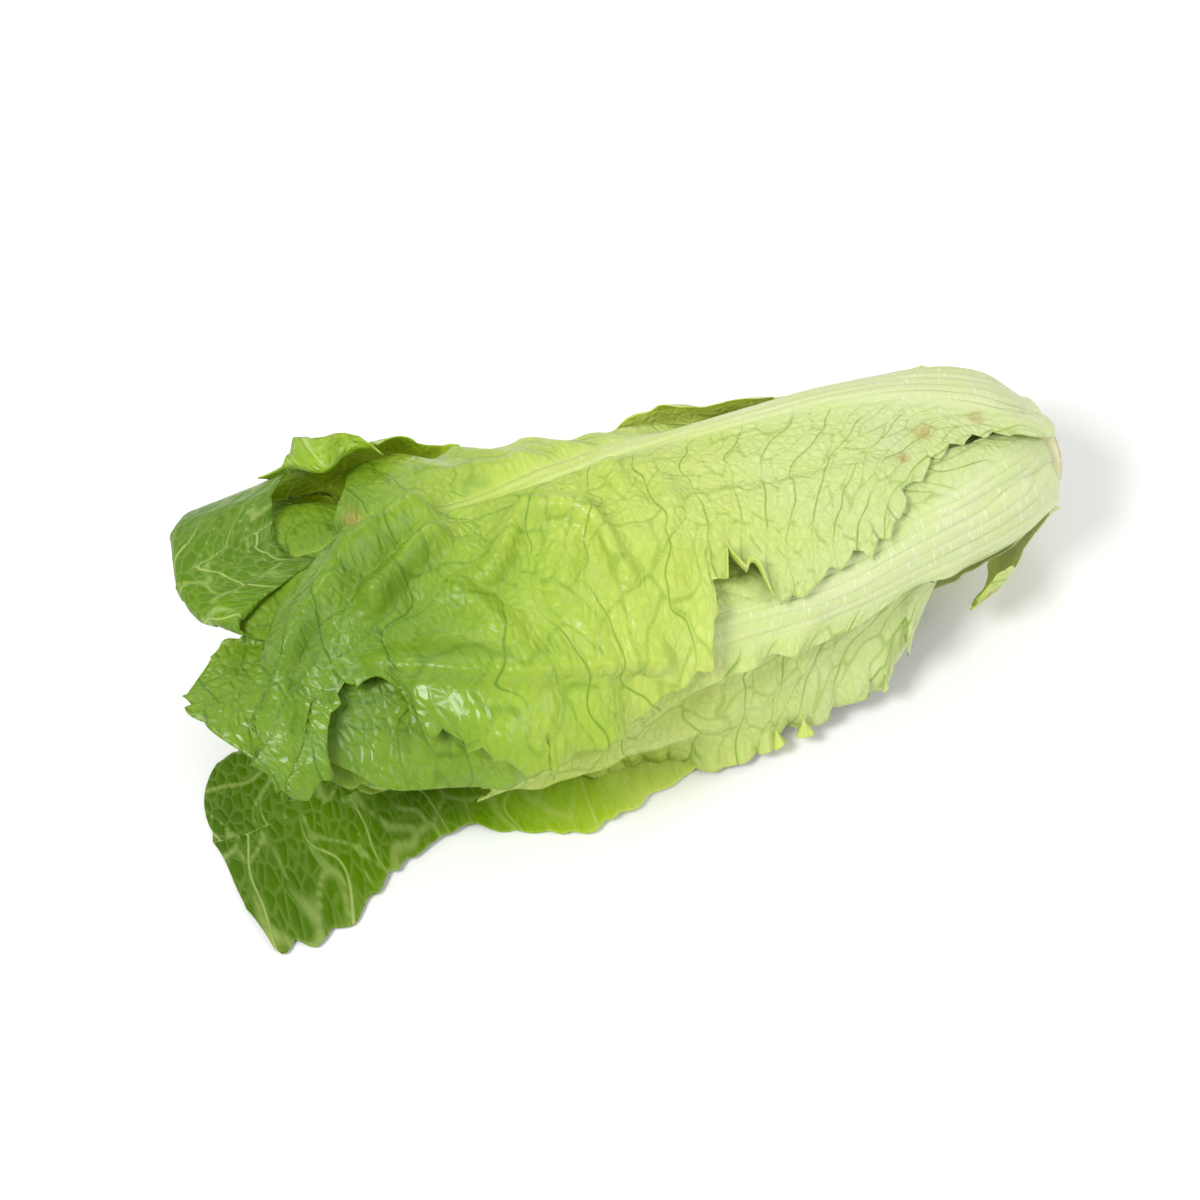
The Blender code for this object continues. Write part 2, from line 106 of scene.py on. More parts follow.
def smooth_curve(at: Grid, knots: Grid, values: Grid) -> Grid:
    """Cubic pieces through (knots, values), each knot's slope taken from its neighbours.

    Args:
        at: Where to read the curve.
        knots: Rising places of the known values.
        values: The known values.

    Returns:
        The curve's value at each place, constant beyond the ends.
    """
    knots, values = np.asarray(knots, float), np.asarray(values, float)
    slopes = np.gradient(values, knots)
    at = np.clip(at, knots[0], knots[-1])
    piece = np.clip(np.searchsorted(knots, at) - 1, 0, len(knots) - 2)
    span = knots[piece + 1] - knots[piece]
    t = (at - knots[piece]) / span
    leaving, arriving = slopes[piece] * span, slopes[piece + 1] * span
    return (
        values[piece] * (1 + 2 * t) * (1 - t) ** 2
        + leaving * t * (1 - t) ** 2
        + values[piece + 1] * t**2 * (3 - 2 * t)
        - arriving * t**2 * (1 - t)
    )


@dataclass(frozen=True)
class Noise:
    """Smooth random fields over a plane, the same for the same seed."""

    seed: int
    period: int = 64
    cell_margin: float = 0.12

    def values(self, x: Grid, y: Grid) -> Grid:
        """Random values on whole-number points, eased between them by the S curve.

        Args:
            x: First coordinate, in lattice steps.
            y: Second coordinate, in lattice steps.

        Returns:
            Values between -1 and 1.
        """
        table = np.random.default_rng(self.seed).uniform(-1, 1, (self.period, self.period))
        x, y = np.broadcast_arrays(np.asarray(x, float), np.asarray(y, float))
        column, row = np.floor(x).astype(int), np.floor(y).astype(int)
        across, down = x - column, y - row
        across = across * across * (3 - 2 * across)
        down = down * down * (3 - 2 * down)
        right, below = (column + 1) % self.period, (row + 1) % self.period
        column, row = column % self.period, row % self.period
        top = table[row, column] * (1 - across) + table[row, right] * across
        bottom = table[below, column] * (1 - across) + table[below, right] * across
        return top * (1 - down) + bottom * down

    def layered(self, x: Grid, y: Grid, layers: int = 3) -> Grid:
        """A sum of values(), each layer twice as fine and half as strong.

        Args:
            x: First coordinate, in lattice steps of the coarsest layer.
            y: Second coordinate, in the same steps.
            layers: How many layers are summed.

        Returns:
            Values that mostly lie between -1 and 1.
        """
        total = 0.0
        for layer in range(layers):
            total = total + self.values(x * 2**layer + 17 * layer, y * 2**layer) / 2**layer
        return total / 1.5

    def cells(self, x: Grid, y: Grid) -> Grid:
        """Distance to the nearest border between the cells of jittered points.

        Each unit square holds one random point. The border distance is taken as half of the
        gap between the nearest and the second nearest point.

        Args:
            x: First coordinate, in cell sizes.
            y: Second coordinate, in cell sizes.

        Returns:
            The distance to the cell's border, in cell sizes.
        """
        inside = (self.cell_margin, 1 - self.cell_margin)
        size = (2, self.period, self.period)
        jitter = np.random.default_rng(self.seed).uniform(*inside, size)
        x, y = np.broadcast_arrays(np.asarray(x, float), np.asarray(y, float))
        column, row = np.floor(x).astype(int), np.floor(y).astype(int)
        nearest = np.full(x.shape, np.inf)
        second = np.full(x.shape, np.inf)
        for down in (-2, -1, 0, 1, 2):
            for right in (-2, -1, 0, 1, 2):
                place = (row + down) % self.period, (column + right) % self.period
                away_x = column + right + jitter[0][place] - x
                away_y = row + down + jitter[1][place] - y
                distance = np.hypot(away_x, away_y)
                second = np.minimum(second, np.maximum(nearest, distance))
                nearest = np.minimum(nearest, distance)
        return (second - nearest) / 2


@dataclass(frozen=True)
class HeadShape:
    """The head's overall form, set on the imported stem's butt and axis.

    An outline row is (station, front half width, back half width, half height), the last three
    as shares of the half width and the half height.
    """

    butt_x: float
    axis_y: float
    axis_z: float
    length: float = 0.308
    width: float = 0.134
    height: float = 0.079
    stem_radius: float = 0.0145
    stem_tip_radius: float = 0.004
    stem_length: float = 0.105
    heart_hollow: float = 0.0065
    shoulder: float = 0.034
    tip_opening: float = 0.34
    below_share: float = 0.78
    top_roundness: float = 2.2
    bottom_roundness: float = 3.6
    turn: Span = (-0.5, 0.5)
    stem_taper: float = 1.6
    outline: Rows = (
        (0.00, 0.22, 0.22, 0.40),
        (0.04, 0.40, 0.43, 0.74),
        (0.12, 0.53, 0.60, 0.96),
        (0.22, 0.65, 0.68, 1.05),
        (0.32, 0.74, 0.69, 1.06),
        (0.45, 0.84, 0.71, 1.03),
        (0.58, 0.92, 0.80, 0.98),
        (0.72, 0.98, 0.96, 0.94),
        (0.86, 1.00, 1.08, 0.88),
        (1.00, 0.96, 1.10, 0.80),
    )

    @classmethod
    def from_frame(cls) -> HeadShape:
        """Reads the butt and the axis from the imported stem's box."""
        low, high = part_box("stem")
        return cls(high[0], (low[1] + high[1]) / 2, (low[2] + high[2]) / 2)

    def radius(self, station: Grid, angle: Grid) -> Grid:
        """The head's outer radius: a superellipse whose half sizes change along the head.

        Args:
            station: Share of the length from the butt.
            angle: Degrees about the axis.

        Returns:
            Radius from the axis, in metres.
        """
        shares = np.array(self.outline)
        front, back, tall = (smooth_curve(station, shares[:, 0], shares[:, i]) for i in (1, 2, 3))
        sideways, upward = np.sin(np.radians(angle)), np.cos(np.radians(angle))
        half_width = (back + (front - back) * smooth_step(sideways, *self.turn)) * self.width / 2
        is_top = smooth_step(upward, *self.turn)
        half_height = tall * (self.below_share + (1 - self.below_share) * is_top) * self.height / 2
        power = self.bottom_roundness + (self.top_roundness - self.bottom_roundness) * is_top
        across, upright = np.abs(sideways) / half_width, np.abs(upward) / half_height
        return (across**power + upright**power) ** (-1 / power)

    def core_radius(self, station: Grid) -> Grid:
        """The stem's radius, full at the butt and narrowing to its tip in the heart.

        It narrows with the square root of 1 less a power of the share along the stem.

        Args:
            station: Share of the head's length from the butt.

        Returns:
            The radius at each place, in metres.
        """
        along = np.clip(station * self.length / self.stem_length, 0, 1)
        narrowing = np.sqrt(1 - along**self.stem_taper)
        return self.stem_tip_radius + (self.stem_radius - self.stem_tip_radius) * narrowing

    def to_space(self, station: Grid, angle: Grid, radius: Grid) -> Grid:
        """Turns places on the head into points.

        Args:
            station: Share of the length from the butt.
            angle: Degrees about the axis.
            radius: Metres from the axis.

        Returns:
            Points in metres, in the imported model's frame.
        """
        station, turn, radius = np.broadcast_arrays(station, np.radians(angle), radius)
        x = self.butt_x - station * self.length
        y = self.axis_y - radius * np.sin(turn)
        z = self.axis_z + radius * np.cos(turn)
        return np.stack([x, y, z], axis=-1)

    def to_head(self, points: Grid) -> tuple[Grid, Grid, Grid]:
        """Turns points into places on the head.

        Args:
            points: Points in metres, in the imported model's frame.

        Returns:
            Station, angle and radius.
        """
        station = (self.butt_x - points[..., 0]) / self.length
        y, z = points[..., 1] - self.axis_y, points[..., 2] - self.axis_z
        return station, np.degrees(np.arctan2(-y, z)), np.hypot(y, z)


class Bed:
    """The outer radius of every leaf laid so far, on a grid of stations and angles.

    FIRST and LAST are stations, and the reaches count cells. BASE_END is the stretch, in metres
    from a leaf's base, over which the tight reach gives way to the wide one.
    """

    FIRST, LAST = -0.06, 1.12
    STATION_STEP = 0.0015
    ANGLE_STEP = 2.0
    TIP_SLOPE = 0.25
    GAP = 0.0006
    TIGHT_REACH, WIDE_REACH = 1, 3
    BASE_END = (0.002, 0.016)

    def __init__(self, shape: HeadShape) -> None:
        """Starts the bed with the stem and the hollow of the heart.

        Args:
            shape: The head's form.
        """
        self.shape = shape
        self.step = self.STATION_STEP / shape.length
        self.stations = np.arange(self.FIRST, self.LAST, self.step)
        self.angles = np.arange(0.0, 360.0, self.ANGLE_STEP)
        core = np.maximum(shape.core_radius(self.stations), shape.heart_hollow)
        beyond = self.stations * shape.length > shape.stem_length
        core = np.where(beyond, shape.heart_hollow, core)
        self.radius = np.repeat(core[:, None], len(self.angles), axis=1)

    def cells(self, station: Grid, angle: Grid) -> tuple[Grid, Grid]:
        """Grid row and column, as fractions, of places on the head."""
        row = np.clip((station - self.stations[0]) / self.step, 0, len(self.stations) - 1.001)
        return row, np.mod(angle, 360.0) / self.ANGLE_STEP

    def lay(self, points: Grid) -> None:
        """Raises the four cells round each of a laid sheet's points to its radius.

        Args:
            points: The sheet's points, in metres.
        """
        station, angle, radius = self.shape.to_head(points)
        row, column = self.cells(station, angle)
        for down in (0, 1):
            for right in (0, 1):
                place = row.astype(int) + down, (column.astype(int) + right) % len(self.angles)
                np.maximum.at(self.radius, place, radius)

    @staticmethod
    def shifted(grid: Grid, shift: int, axis: int) -> Grid:
        """The grid moved by some cells: angles wrap round, and the end stations repeat.

        Args:
            grid: A grid of the bed's own size.
            shift: Cells to move it by.
            axis: 0 moves along the stations, 1 along the angles.

        Returns:
            The moved grid.
        """
        if axis == 1:
            return np.roll(grid, shift, axis=1)
        return grid[np.clip(np.arange(len(grid)) + shift, 0, len(grid) - 1)]

    def eased(self, reach: int) -> Grid:
        """The bed widened by reach cells, then averaged over as many, so never below itself.

        Past each leaf's tip the drop is first filled to a gentle slope.

        Args:
            reach: Cells on either side.

        Returns:
            The eased grid of radii.
        """
        wide = self.radius.copy()
        for row in range(1, len(wide)):
            wide[row] = np.maximum(wide[row], wide[row - 1] - self.TIP_SLOPE * self.STATION_STEP)
        shifts = range(-reach, reach + 1)
        for axis in (0, 1):
            wide = np.max([self.shifted(wide, shift, axis) for shift in shifts], axis=0)
        for axis in (0, 1):
            wide = np.mean([self.shifted(wide, shift, axis) for shift in shifts], axis=0)
        return wide

    def read(self, grid: Grid, station: Grid, angle: Grid) -> Grid:
        """A grid's value at places on the head, straight between its cells.

        Args:
            grid: A grid of the bed's own size.
            station: Share of the length from the butt.
            angle: Degrees about the axis.

        Returns:
            The value at each place.
        """
        row, column = self.cells(station, angle)
        top, left = row.astype(int), column.astype(int)
        row_share, column_share = row - top, column - left
        right, left = (left + 1) % len(self.angles), left % len(self.angles)
        near = grid[top, left] * (1 - column_share) + grid[top, right] * column_share
        far = grid[top + 1, left] * (1 - column_share) + grid[top + 1, right] * column_share
        return near * (1 - row_share) + far * row_share

    def room(self, station: Grid, angle: Grid, start: float) -> Grid:
        """The least radius of a new leaf's inner face, closest to the bed at the leaf's base.

        Args:
            station: Share of the length from the butt.
            angle: Degrees about the axis.
            start: The station of the leaf's base.

        Returns:
            The radius at each place, in metres.
        """
        tight = self.read(self.eased(self.TIGHT_REACH), station, angle)
        wide = np.maximum(self.read(self.eased(self.WIDE_REACH), station, angle), tight)
        share = smooth_step((station - start) * self.shape.length, *self.BASE_END)
        return tight + (wide - tight) * share + self.GAP


@dataclass(frozen=True)
class Fold:
    """A soft ridge along a leaf between two places, each given as (station, angle)."""

    start: tuple[float, float]
    end: tuple[float, float]
    height: float
    width: float

    def relief(self, station: Grid, angle: Grid, length: float, girth: float) -> Grid:
        """A bell-shaped ridge beside the line from start to end, fading towards both ends.

        Args:
            station: Share of the length from the butt.
            angle: Degrees about the axis.
            length: The head's length.
            girth: Metres round the head for each degree, about the same all over the leaf.

        Returns:
            The ridge's height at each place.
        """
        scale = np.array([length, girth])
        first = np.array(self.start) * scale
        line = np.array(self.end) * scale - first
        span = float(np.hypot(*line))
        unit = line / span
        along, across = station * length - first[0], angle * girth - first[1]
        reach = along * unit[0] + across * unit[1]
        aside = across * unit[0] - along * unit[1]
        soft = self.width
        fade = window(reach, (-soft, soft), (span - soft, span + soft))
        return self.height * fade * np.exp(-((aside / self.width) ** 2))


class Gloss(Enum):
    """How strongly a leaf's face mirrors its surroundings."""

    SATIN = 0.38
    DULL = 0.17


class Side(Enum):
    """The part of a leaf's margin that curls."""

    TIP = "tip"
    LOW = "low"
    HIGH = "high"


@dataclass(frozen=True)
class Curl:
    """A margin that rolls away from the head, back over the leaf.

    The margin beyond reach metres from the edge follows a circle of the given radius up to
    turn degrees, and runs on straight after it. It rolls between start and end, which are
    shares across the leaf for a tip and stations for a side.
    """

    side: Side
    reach: float
    radius: float
    turn: float
    start: float = 0.0
    end: float = 1.0

    def rolled(self, beyond: Grid) -> tuple[Grid, Grid]:
        """How far along and how far up a point lies that is this far beyond the roll's start.

        Args:
            beyond: Distance beyond the start of the roll, in metres.

        Returns:
            The distance gained along the sheet, and the height gained.
        """
        limit = math.radians(self.turn)
        beyond = np.maximum(beyond, 0)
        bend = np.minimum(beyond / self.radius, limit)
        straight = np.maximum(beyond - self.radius * limit, 0)
        along = self.radius * np.sin(bend) + straight * math.cos(limit)
        height = self.radius * (1 - np.cos(bend)) + straight * math.sin(limit)
        return along, height


@dataclass(frozen=True)
class Margin:
    """The teeth of a leaf's edge: their depth, spacing, and how hooked they are.

    They grow from the share start along the leaf, over the share growth.
    """

    depth: float = 0.003
    spacing: float = 0.012
    hook: float = 0.5
    start: float = 0.12
    pointed_to: float = 0.0
    growth: float = 0.12
    bluntness: float = 0.7
    pointed_gain: float = 1.4
    swell: float = 0.9

    def teeth(self, along: Grid, seed: int) -> tuple[Grid, Grid]:
        """Scallops with sharp notches, or sharp teeth with round notches, of random sizes.

        The scallop is the absolute sine of the distance along the edge, whose spacing wanders,
        raised to a power below 1. Up to the pointed_to distance it is turned over: 1 less it.

        Args:
            along: Distance along the edge, in metres.
            seed: The random seed.

        Returns:
            How far the edge stands out, and how far it leans towards the tip, in metres.
        """
        wander = Noise(seed).layered(along / (self.spacing * 2.3), 0.5)
        phase = along / self.spacing + 0.9 * wander
        scallop = np.abs(np.sin(np.pi * phase)) ** self.bluntness
        tooth = np.where(along < self.pointed_to, self.pointed_gain * (1 - scallop), scallop)
        size = 0.55 + 0.45 * Noise(seed + 1).values(np.floor(phase) * 0.77, 3.3)
        swell = Noise(seed + 2).layered(along / (self.spacing * 4), 9.1)
        out = self.depth * (tooth * size + self.swell * swell)
        lean = self.depth * self.hook * np.sin(2 * np.pi * phase) * size
        return out, lean


@dataclass(frozen=True)
class Leaf:
    """One leaf: its outline on the head, its rib, its relief and its greenness.

    The layer is its share of the head's radius. An outline row is (station, low edge angle,
    rib angle, high edge angle), a flare row is (station, low edge's rise, high edge's rise), a
    tones row is (station, greenness), and a bruise is (station, angle, radius). Its relief
    grows between the lively stations, and is low up to covered_to, the share across that
    another leaf covers. A sprawling leaf lies on the surface past the sprawl stations.
    """

    name: str
    layer: float
    outline: Rows
    slot: str = "outer_leaf"
    seed: int = 1
    rows: int = 220
    columns: int = 120
    tip_round: float = 0.05
    rib_thickness: float = 0.0044
    rib_half_width: float = 0.015
    rib_end: float = 2.0
    gloss: Gloss = Gloss.SATIN
    blade_thickness: float = 0.0006
    flare: Rows = ((0.0, 0.0, 0.0), (1.0, 0.0, 0.0))
    tip_lift: float = 0.0
    sprawl: Span | None = None
    lateral_spacing: float = 0.021
    blister: float = 0.0011
    billow: float = 0.0022
    crease: float = 0.0014
    ruffle: float = 0.002
    lively: Span = (0.16, 0.42)
    covered_to: float = -2.0
    folds: tuple[Fold, ...] = ()
    curls: tuple[Curl, ...] = ()
    low_margin: Margin = Margin()
    high_margin: Margin = Margin()
    tones: Rows = ((0.0, 0.04), (0.2, 0.14), (0.5, 0.42), (0.8, 0.68), (1.0, 0.82))
    bruises: Rows = ()


@dataclass
class LeafSurface:
    """The grids of one leaf as it is worked out: places, thickness and the fields it wears.

    The first index runs along the leaf and the second across it. Lengths are in metres.
    UNDERNEATH and LYING_DIRECTIONS are cosines of the angle from straight down.
    """

    CROWDING = 0.6
    RIM_POWER, TIP_POWER, FLARE_POWER, RUFFLE_POWER = 8, 10, 3, 3
    OPENING_STATIONS = (0.5, 0.9)
    RIB_FADE = 0.008
    RIB_SHARE_AT_TIP, RIB_NARROWING, RIB_SQUARENESS = 0.03, 1.3, 2.6
    RIB_THINNING = 1.1
    EDGE_THINNING, EDGE_POWER = 0.45, 12
    VEIN_SLANTS = (0.45, 2.35)
    SLANT_STATIONS = (0.12, 0.52)
    VEIN_BEND, VEIN_WANDER, VEIN_STAGGER = 4.0, 0.015, 0.45
    STEEPNESS_LIMITS = (0.7, 6.0)
    CELL_SIZE, CELLS_PER_VEIN = 0.0125, 1.7
    WARP_SIZE, WARP = 0.012, 0.35
    COVER_EDGE, COVERED_LOSS = 0.4, 0.85
    CALM_SHARES, CALM_LOSS = (0.84, 0.95), 0.7
    PILLOW_WIDTH, PILLOW_SHARE = 0.0030, 0.6
    QUILT_WIDTH, QUILT_SHARE = 0.0055, 0.8
    RIDGE_HEIGHT, RIDGE_SPACING = 0.00038, 0.0036
    WAVE_LENGTH = 0.034
    UNDERNEATH, PRESSED = (0.35, 0.8), 0.8
    CONTACT_SOFTNESS = 0.0006
    STEM_GAP = 0.0003
    LIFT_SHARES = (0.4, 1.0)
    LYING_DIRECTIONS = (0.2, 0.4)
    TIP_WINDOW, SIDE_WINDOW = 0.15, 0.03
    HELD_RELIEF = 0.35
    RIB_PALENESS = 0.70

    shape: HeadShape
    leaf: Leaf
    station: Grid = field(init=False)
    angle: Grid = field(init=False)
    along: Grid = field(init=False)
    across: Grid = field(init=False)
    away: Grid = field(init=False)
    rib: Grid = field(init=False)
    phase: Grid = field(init=False)
    steepness: Grid = field(init=False)
    gap: Grid = field(init=False)
    border: Grid = field(init=False)

    def __post_init__(self) -> None:
        """Works out the leaf's places, rib and veins."""
        self.set_places()
        self.set_veins()

    def noise(self, number: int, long: float, wide: float, layers: int = 3) -> Grid:
        """Layered noise over the flat leaf, in patches this long and this wide, in metres."""
        along = self.station * self.shape.length
        return Noise(self.leaf.seed + number).layered(along / long, self.away / wide, layers)

    def set_places(self) -> None:
        """Spreads the grid over the outline and pulls its border out to the teeth."""
        leaf, length = self.leaf, self.shape.length
        rows = np.array(leaf.outline, float)
        along = np.linspace(0, 1, leaf.rows + 1)[:, None]
        across = np.linspace(-1, 1, leaf.columns + 1)[None, :]
        start, end = rows[0, 0], rows[-1, 0]
        middle = start + (end - start) * along * (along + self.CROWDING) / (1 + self.CROWDING)
        low, rib, high = (smooth_curve(middle, rows[:, 0], rows[:, i]) for i in (1, 2, 3))
        girth = np.radians(1) * self.mean_radius(middle, (low + high) / 2)
        angle = low + (high - low) * (across + 1) / 2
        station = middle - leaf.tip_round * across**2 * along**4
        rim = np.abs(across) ** self.RIM_POWER
        for margin, is_side, sign, seed in (
            (leaf.low_margin, across < 0, -1, leaf.seed),
            (leaf.high_margin, across >= 0, 1, leaf.seed + 50),
        ):
            out, lean = margin.teeth(middle * length, seed)
            grown = smooth_step(along, margin.start, margin.start + margin.growth) * rim * is_side
            angle = angle + sign * out / girth * grown
            station = station + lean / length * grown
        out, _ = leaf.high_margin.teeth(across * (high - low) * girth / 2, leaf.seed + 90)
        station = station + out / length * along**self.TIP_POWER
        self.station, self.angle = station, angle
        self.along, self.across = along + 0 * across, across + 0 * along
        self.away = (angle - rib) * girth
        narrowing = between((1 - along) ** self.RIB_NARROWING, self.RIB_SHARE_AT_TIP, 1)
        half_width = leaf.rib_half_width * narrowing
        snapped = 1 - smooth_step(station, leaf.rib_end - self.RIB_FADE, leaf.rib_end)
        self.rib = np.exp(-np.abs(self.away / half_width) ** self.RIB_SQUARENESS) * snapped

    def mean_radius(self, station: Grid, angle: Grid) -> Grid:
        """The leaf's own radius before anything pushes it out.

        Args:
            station: Share of the length from the butt.
            angle: Degrees about the axis.

        Returns:
            The leaf's share of the head's radius, a larger one where the tips open.
        """
        leaf = self.leaf
        opened = smooth_step(station, *self.OPENING_STATIONS)
        opening = self.shape.tip_opening * (1 - leaf.layer) * opened
        return (leaf.layer + opening) * self.shape.radius(station, angle)

    def set_veins(self) -> None:
        """Sets the side veins' phase, and the distances to the nearest side and small vein.

        The phase is the distance along the leaf, less the distance from the rib times a slant,
        plus its square times a bend, over the spacing, and wanders a little. The slant is
        strong near the base, where side veins run almost along the rib. Side veins lie where
        the phase is a whole number, so the distance to one is the gap to the whole number over
        the phase's steepness. Small veins border random cells between them.
        """
        leaf, length = self.leaf, self.shape.length
        along = self.station * length
        aside = np.abs(self.away)
        wander = self.noise(5, 0.034, 0.022)
        slant = between(1 - smooth_step(self.station, *self.SLANT_STATIONS), *self.VEIN_SLANTS)
        climb = along - slant * aside + self.VEIN_BEND * aside**2 + self.VEIN_WANDER * wander
        self.phase = climb / leaf.lateral_spacing + np.where(self.away > 0, self.VEIN_STAGGER, 0)
        row_step = np.gradient(along, axis=0)
        column_step = np.gradient(self.away, axis=1)
        steep = np.hypot(
            np.gradient(self.phase, axis=0) / np.maximum(np.abs(row_step), 1e-5),
            np.gradient(self.phase, axis=1) / np.maximum(np.abs(column_step), 1e-5),
        )
        least, most = self.STEEPNESS_LIMITS
        self.steepness = np.clip(steep, least / leaf.lateral_spacing, most / leaf.lateral_spacing)
        self.gap = np.abs(self.phase - np.round(self.phase)) / self.steepness
        size = self.WARP_SIZE
        warp = Noise(leaf.seed + 6).values(along / size, self.away / size)
        aside = self.away / self.CELL_SIZE + self.WARP * warp
        cells = Noise(leaf.seed + 7).cells(self.phase * self.CELLS_PER_VEIN, aside)
        self.border = cells * self.CELL_SIZE

    def thickness(self) -> Grid:
        """A rib that thins towards the tip, and a blade that thins to its edge.

        Returns:
            The thickness at each place, in metres.
        """
        leaf = self.leaf
        height = leaf.rib_thickness - leaf.blade_thickness
        height = height * (1 - self.along) ** self.RIB_THINNING
        edge = 1 - self.EDGE_THINNING * np.abs(self.across) ** self.EDGE_POWER
        return (leaf.blade_thickness + height * self.rib) * edge

    def growth(self) -> Grid:
        """How lively the relief is: low near the base, under another leaf and at the tip.

        Returns:
            A share from 0 to 1 at each place.
        """
        leaf = self.leaf
        grown = smooth_step(self.station, *leaf.lively)
        covered = 1 - smooth_step(self.across, leaf.covered_to, leaf.covered_to + self.COVER_EDGE)
        calm = smooth_step(self.along, *self.CALM_SHARES)
        return grown * (1 - self.COVERED_LOSS * covered) * (1 - self.CALM_LOSS * calm)

    def relief(self) -> Grid:
        """Everything that stands out from the smooth leaf, none of it below zero.

        Blisters are pillows that rise with the distance from the nearest vein. Billows are
        broad noise, and creases are its sharp crests. Ruffles are waves along the edge that
        grow towards it, and ridges are waves across the rib. Folds are soft ridges.

        Returns:
            The height at each place, in metres.
        """
        leaf, length, grown = self.leaf, self.shape.length, self.growth()
        along = self.station * length
        blade = 1 - np.clip(self.rib * 1.6, 0, 1)
        nearest = np.minimum(self.border, self.gap)
        pillow = 1 - np.exp(-((nearest / self.PILLOW_WIDTH) ** 2))
        quilt = 1 - np.exp(-((self.gap / self.QUILT_WIDTH) ** 2))
        blister = self.PILLOW_SHARE * pillow + self.QUILT_SHARE * quilt
        patch = 0.7 + 0.6 * self.noise(8, 0.03, 0.03)
        total = leaf.blister * blister * patch.clip(0.1) * grown * blade
        broad = 1 + self.noise(9, 0.045, 0.035)
        total = total + leaf.billow * broad * grown * between(blade, 0.35, 1)
        ridges = 0.5 + 0.5 * np.cos(2 * np.pi * (self.away / self.RIDGE_SPACING + 0.3 * broad))
        ridges = self.RIDGE_HEIGHT * ridges * self.rib
        total = total + ridges * smooth_step(self.along, 0.02, 0.15)
        sharp = 1 - np.abs(self.noise(10, 0.028, 0.020, 2))
        total = total + leaf.crease * np.clip(sharp, 0, 1) ** 4 * grown * blade
        wave = np.sin(2 * np.pi * (along / self.WAVE_LENGTH + 0.8 * broad)) + 1
        total = total + leaf.ruffle * wave * np.abs(self.across) ** self.RUFFLE_POWER * grown
        girth = float(np.radians(1) * self.mean_radius(self.station, self.angle).mean())
        for fold in leaf.folds:
            total = total + fold.relief(self.station, self.angle, length, girth)
        underneath = smooth_step(-np.cos(np.radians(self.angle)), *self.UNDERNEATH)
        return total * (1 - self.PRESSED * underneath)

    def radii(self, bed: Bed) -> Grid:
        """The inner face's radius: the leaf's own share of the head, pushed out by the bed.

        It rises from the stem by a quarter circle over the shoulder's length. Flares grow with
        a power of the share across, and the relief is added last.

        Args:
            bed: The leaves laid so far.

        Returns:
            The radius at each place, in metres.
        """
        leaf, shape = self.leaf, self.shape
        start = leaf.outline[0][0]
        rise = np.clip((self.station - start) * shape.length / shape.shoulder, 0, 1)
        foot = shape.core_radius(self.station) + self.STEM_GAP
        own = self.mean_radius(self.station, self.angle) - leaf.billow - leaf.blister / 2
        radius = foot + (own - foot) * np.sqrt(1 - (1 - rise) ** 2)
        radius = radius + leaf.tip_lift * smooth_step(self.along, *self.LIFT_SHARES)
        flare = np.array(leaf.flare)
        low, high = (smooth_curve(self.station, flare[:, 0], flare[:, i]) for i in (1, 2))
        spread = np.abs(self.across) ** self.FLARE_POWER
        radius = radius + spread * np.where(self.across < 0, low, high)
        room = bed.room(self.station, self.angle, start)
        return smooth_max(radius, room, self.CONTACT_SOFTNESS) + self.relief()

    def on_surface(self, radius: Grid, thickness: Grid) -> Grid:
        """Brings the downward part of a sprawling leaf onto the surface the head lies on.

        Args:
            radius: The inner face's radius before.
            thickness: The leaf's thickness.

        Returns:
            The inner face's radius after, never below the surface.
        """
        downward = -np.cos(np.radians(self.angle))
        lowest = (self.shape.axis_z - thickness) / np.maximum(downward, self.LYING_DIRECTIONS[0])
        lying = smooth_step(downward, *self.LYING_DIRECTIONS)
        share = smooth_step(self.station, *self.leaf.sprawl) * lying
        raised = lowest - self.relief() * lying
        return np.minimum(radius + (raised - radius) * share, lowest)

    def tip_rolled(self, curl: Curl, station: Grid, radius: Grid) -> tuple[Grid, Grid]:
        """Rolls the tip, along the leaf and up.

        Args:
            curl: The roll.
            station: Share of the length from the butt, before.
            radius: The inner face's radius, before.

        Returns:
            Station and radius after.
        """
        length, soft = self.shape.length, self.TIP_WINDOW
        edge = self.station[-1:, :]
        beyond = (station - (edge - curl.reach / length)) * length
        gain, height = curl.rolled(beyond)
        start_row = np.argmax(beyond > 0, axis=0)
        held = radius[start_row, np.arange(radius.shape[1])][None, :]
        rise, fall = ((place - soft, place + soft) for place in (curl.start, curl.end))
        rolling = (beyond > 0) * window(self.across, rise, fall)
        target = edge - curl.reach / length + gain / length
        raised = held + self.HELD_RELIEF * (radius - held) + height
        return station + (target - station) * rolling, radius + (raised - radius) * rolling

    def side_rolled(self, curl: Curl, angle: Grid, radius: Grid) -> tuple[Grid, Grid]:
        """Rolls the low or the high side, across the leaf and up.

        Args:
            curl: The roll.
            angle: Degrees about the axis, before.
            radius: The inner face's radius, before.

        Returns:
            Angle and radius after.
        """
        sign, column = (-1, 0) if curl.side is Side.LOW else (1, -1)
        soft = self.SIDE_WINDOW
        girth = np.radians(1) * radius
        edge = angle[:, column, None]
        rolling = window(self.station, (curl.start, curl.start + soft), (curl.end - soft, curl.end))
        reach = curl.reach * rolling
        beyond = reach - sign * (edge - angle) * girth
        gain, height = curl.rolled(beyond)
        target = edge - sign * (reach - gain) / girth
        return np.where(beyond > 0, target, angle), radius + height * (beyond > 0)

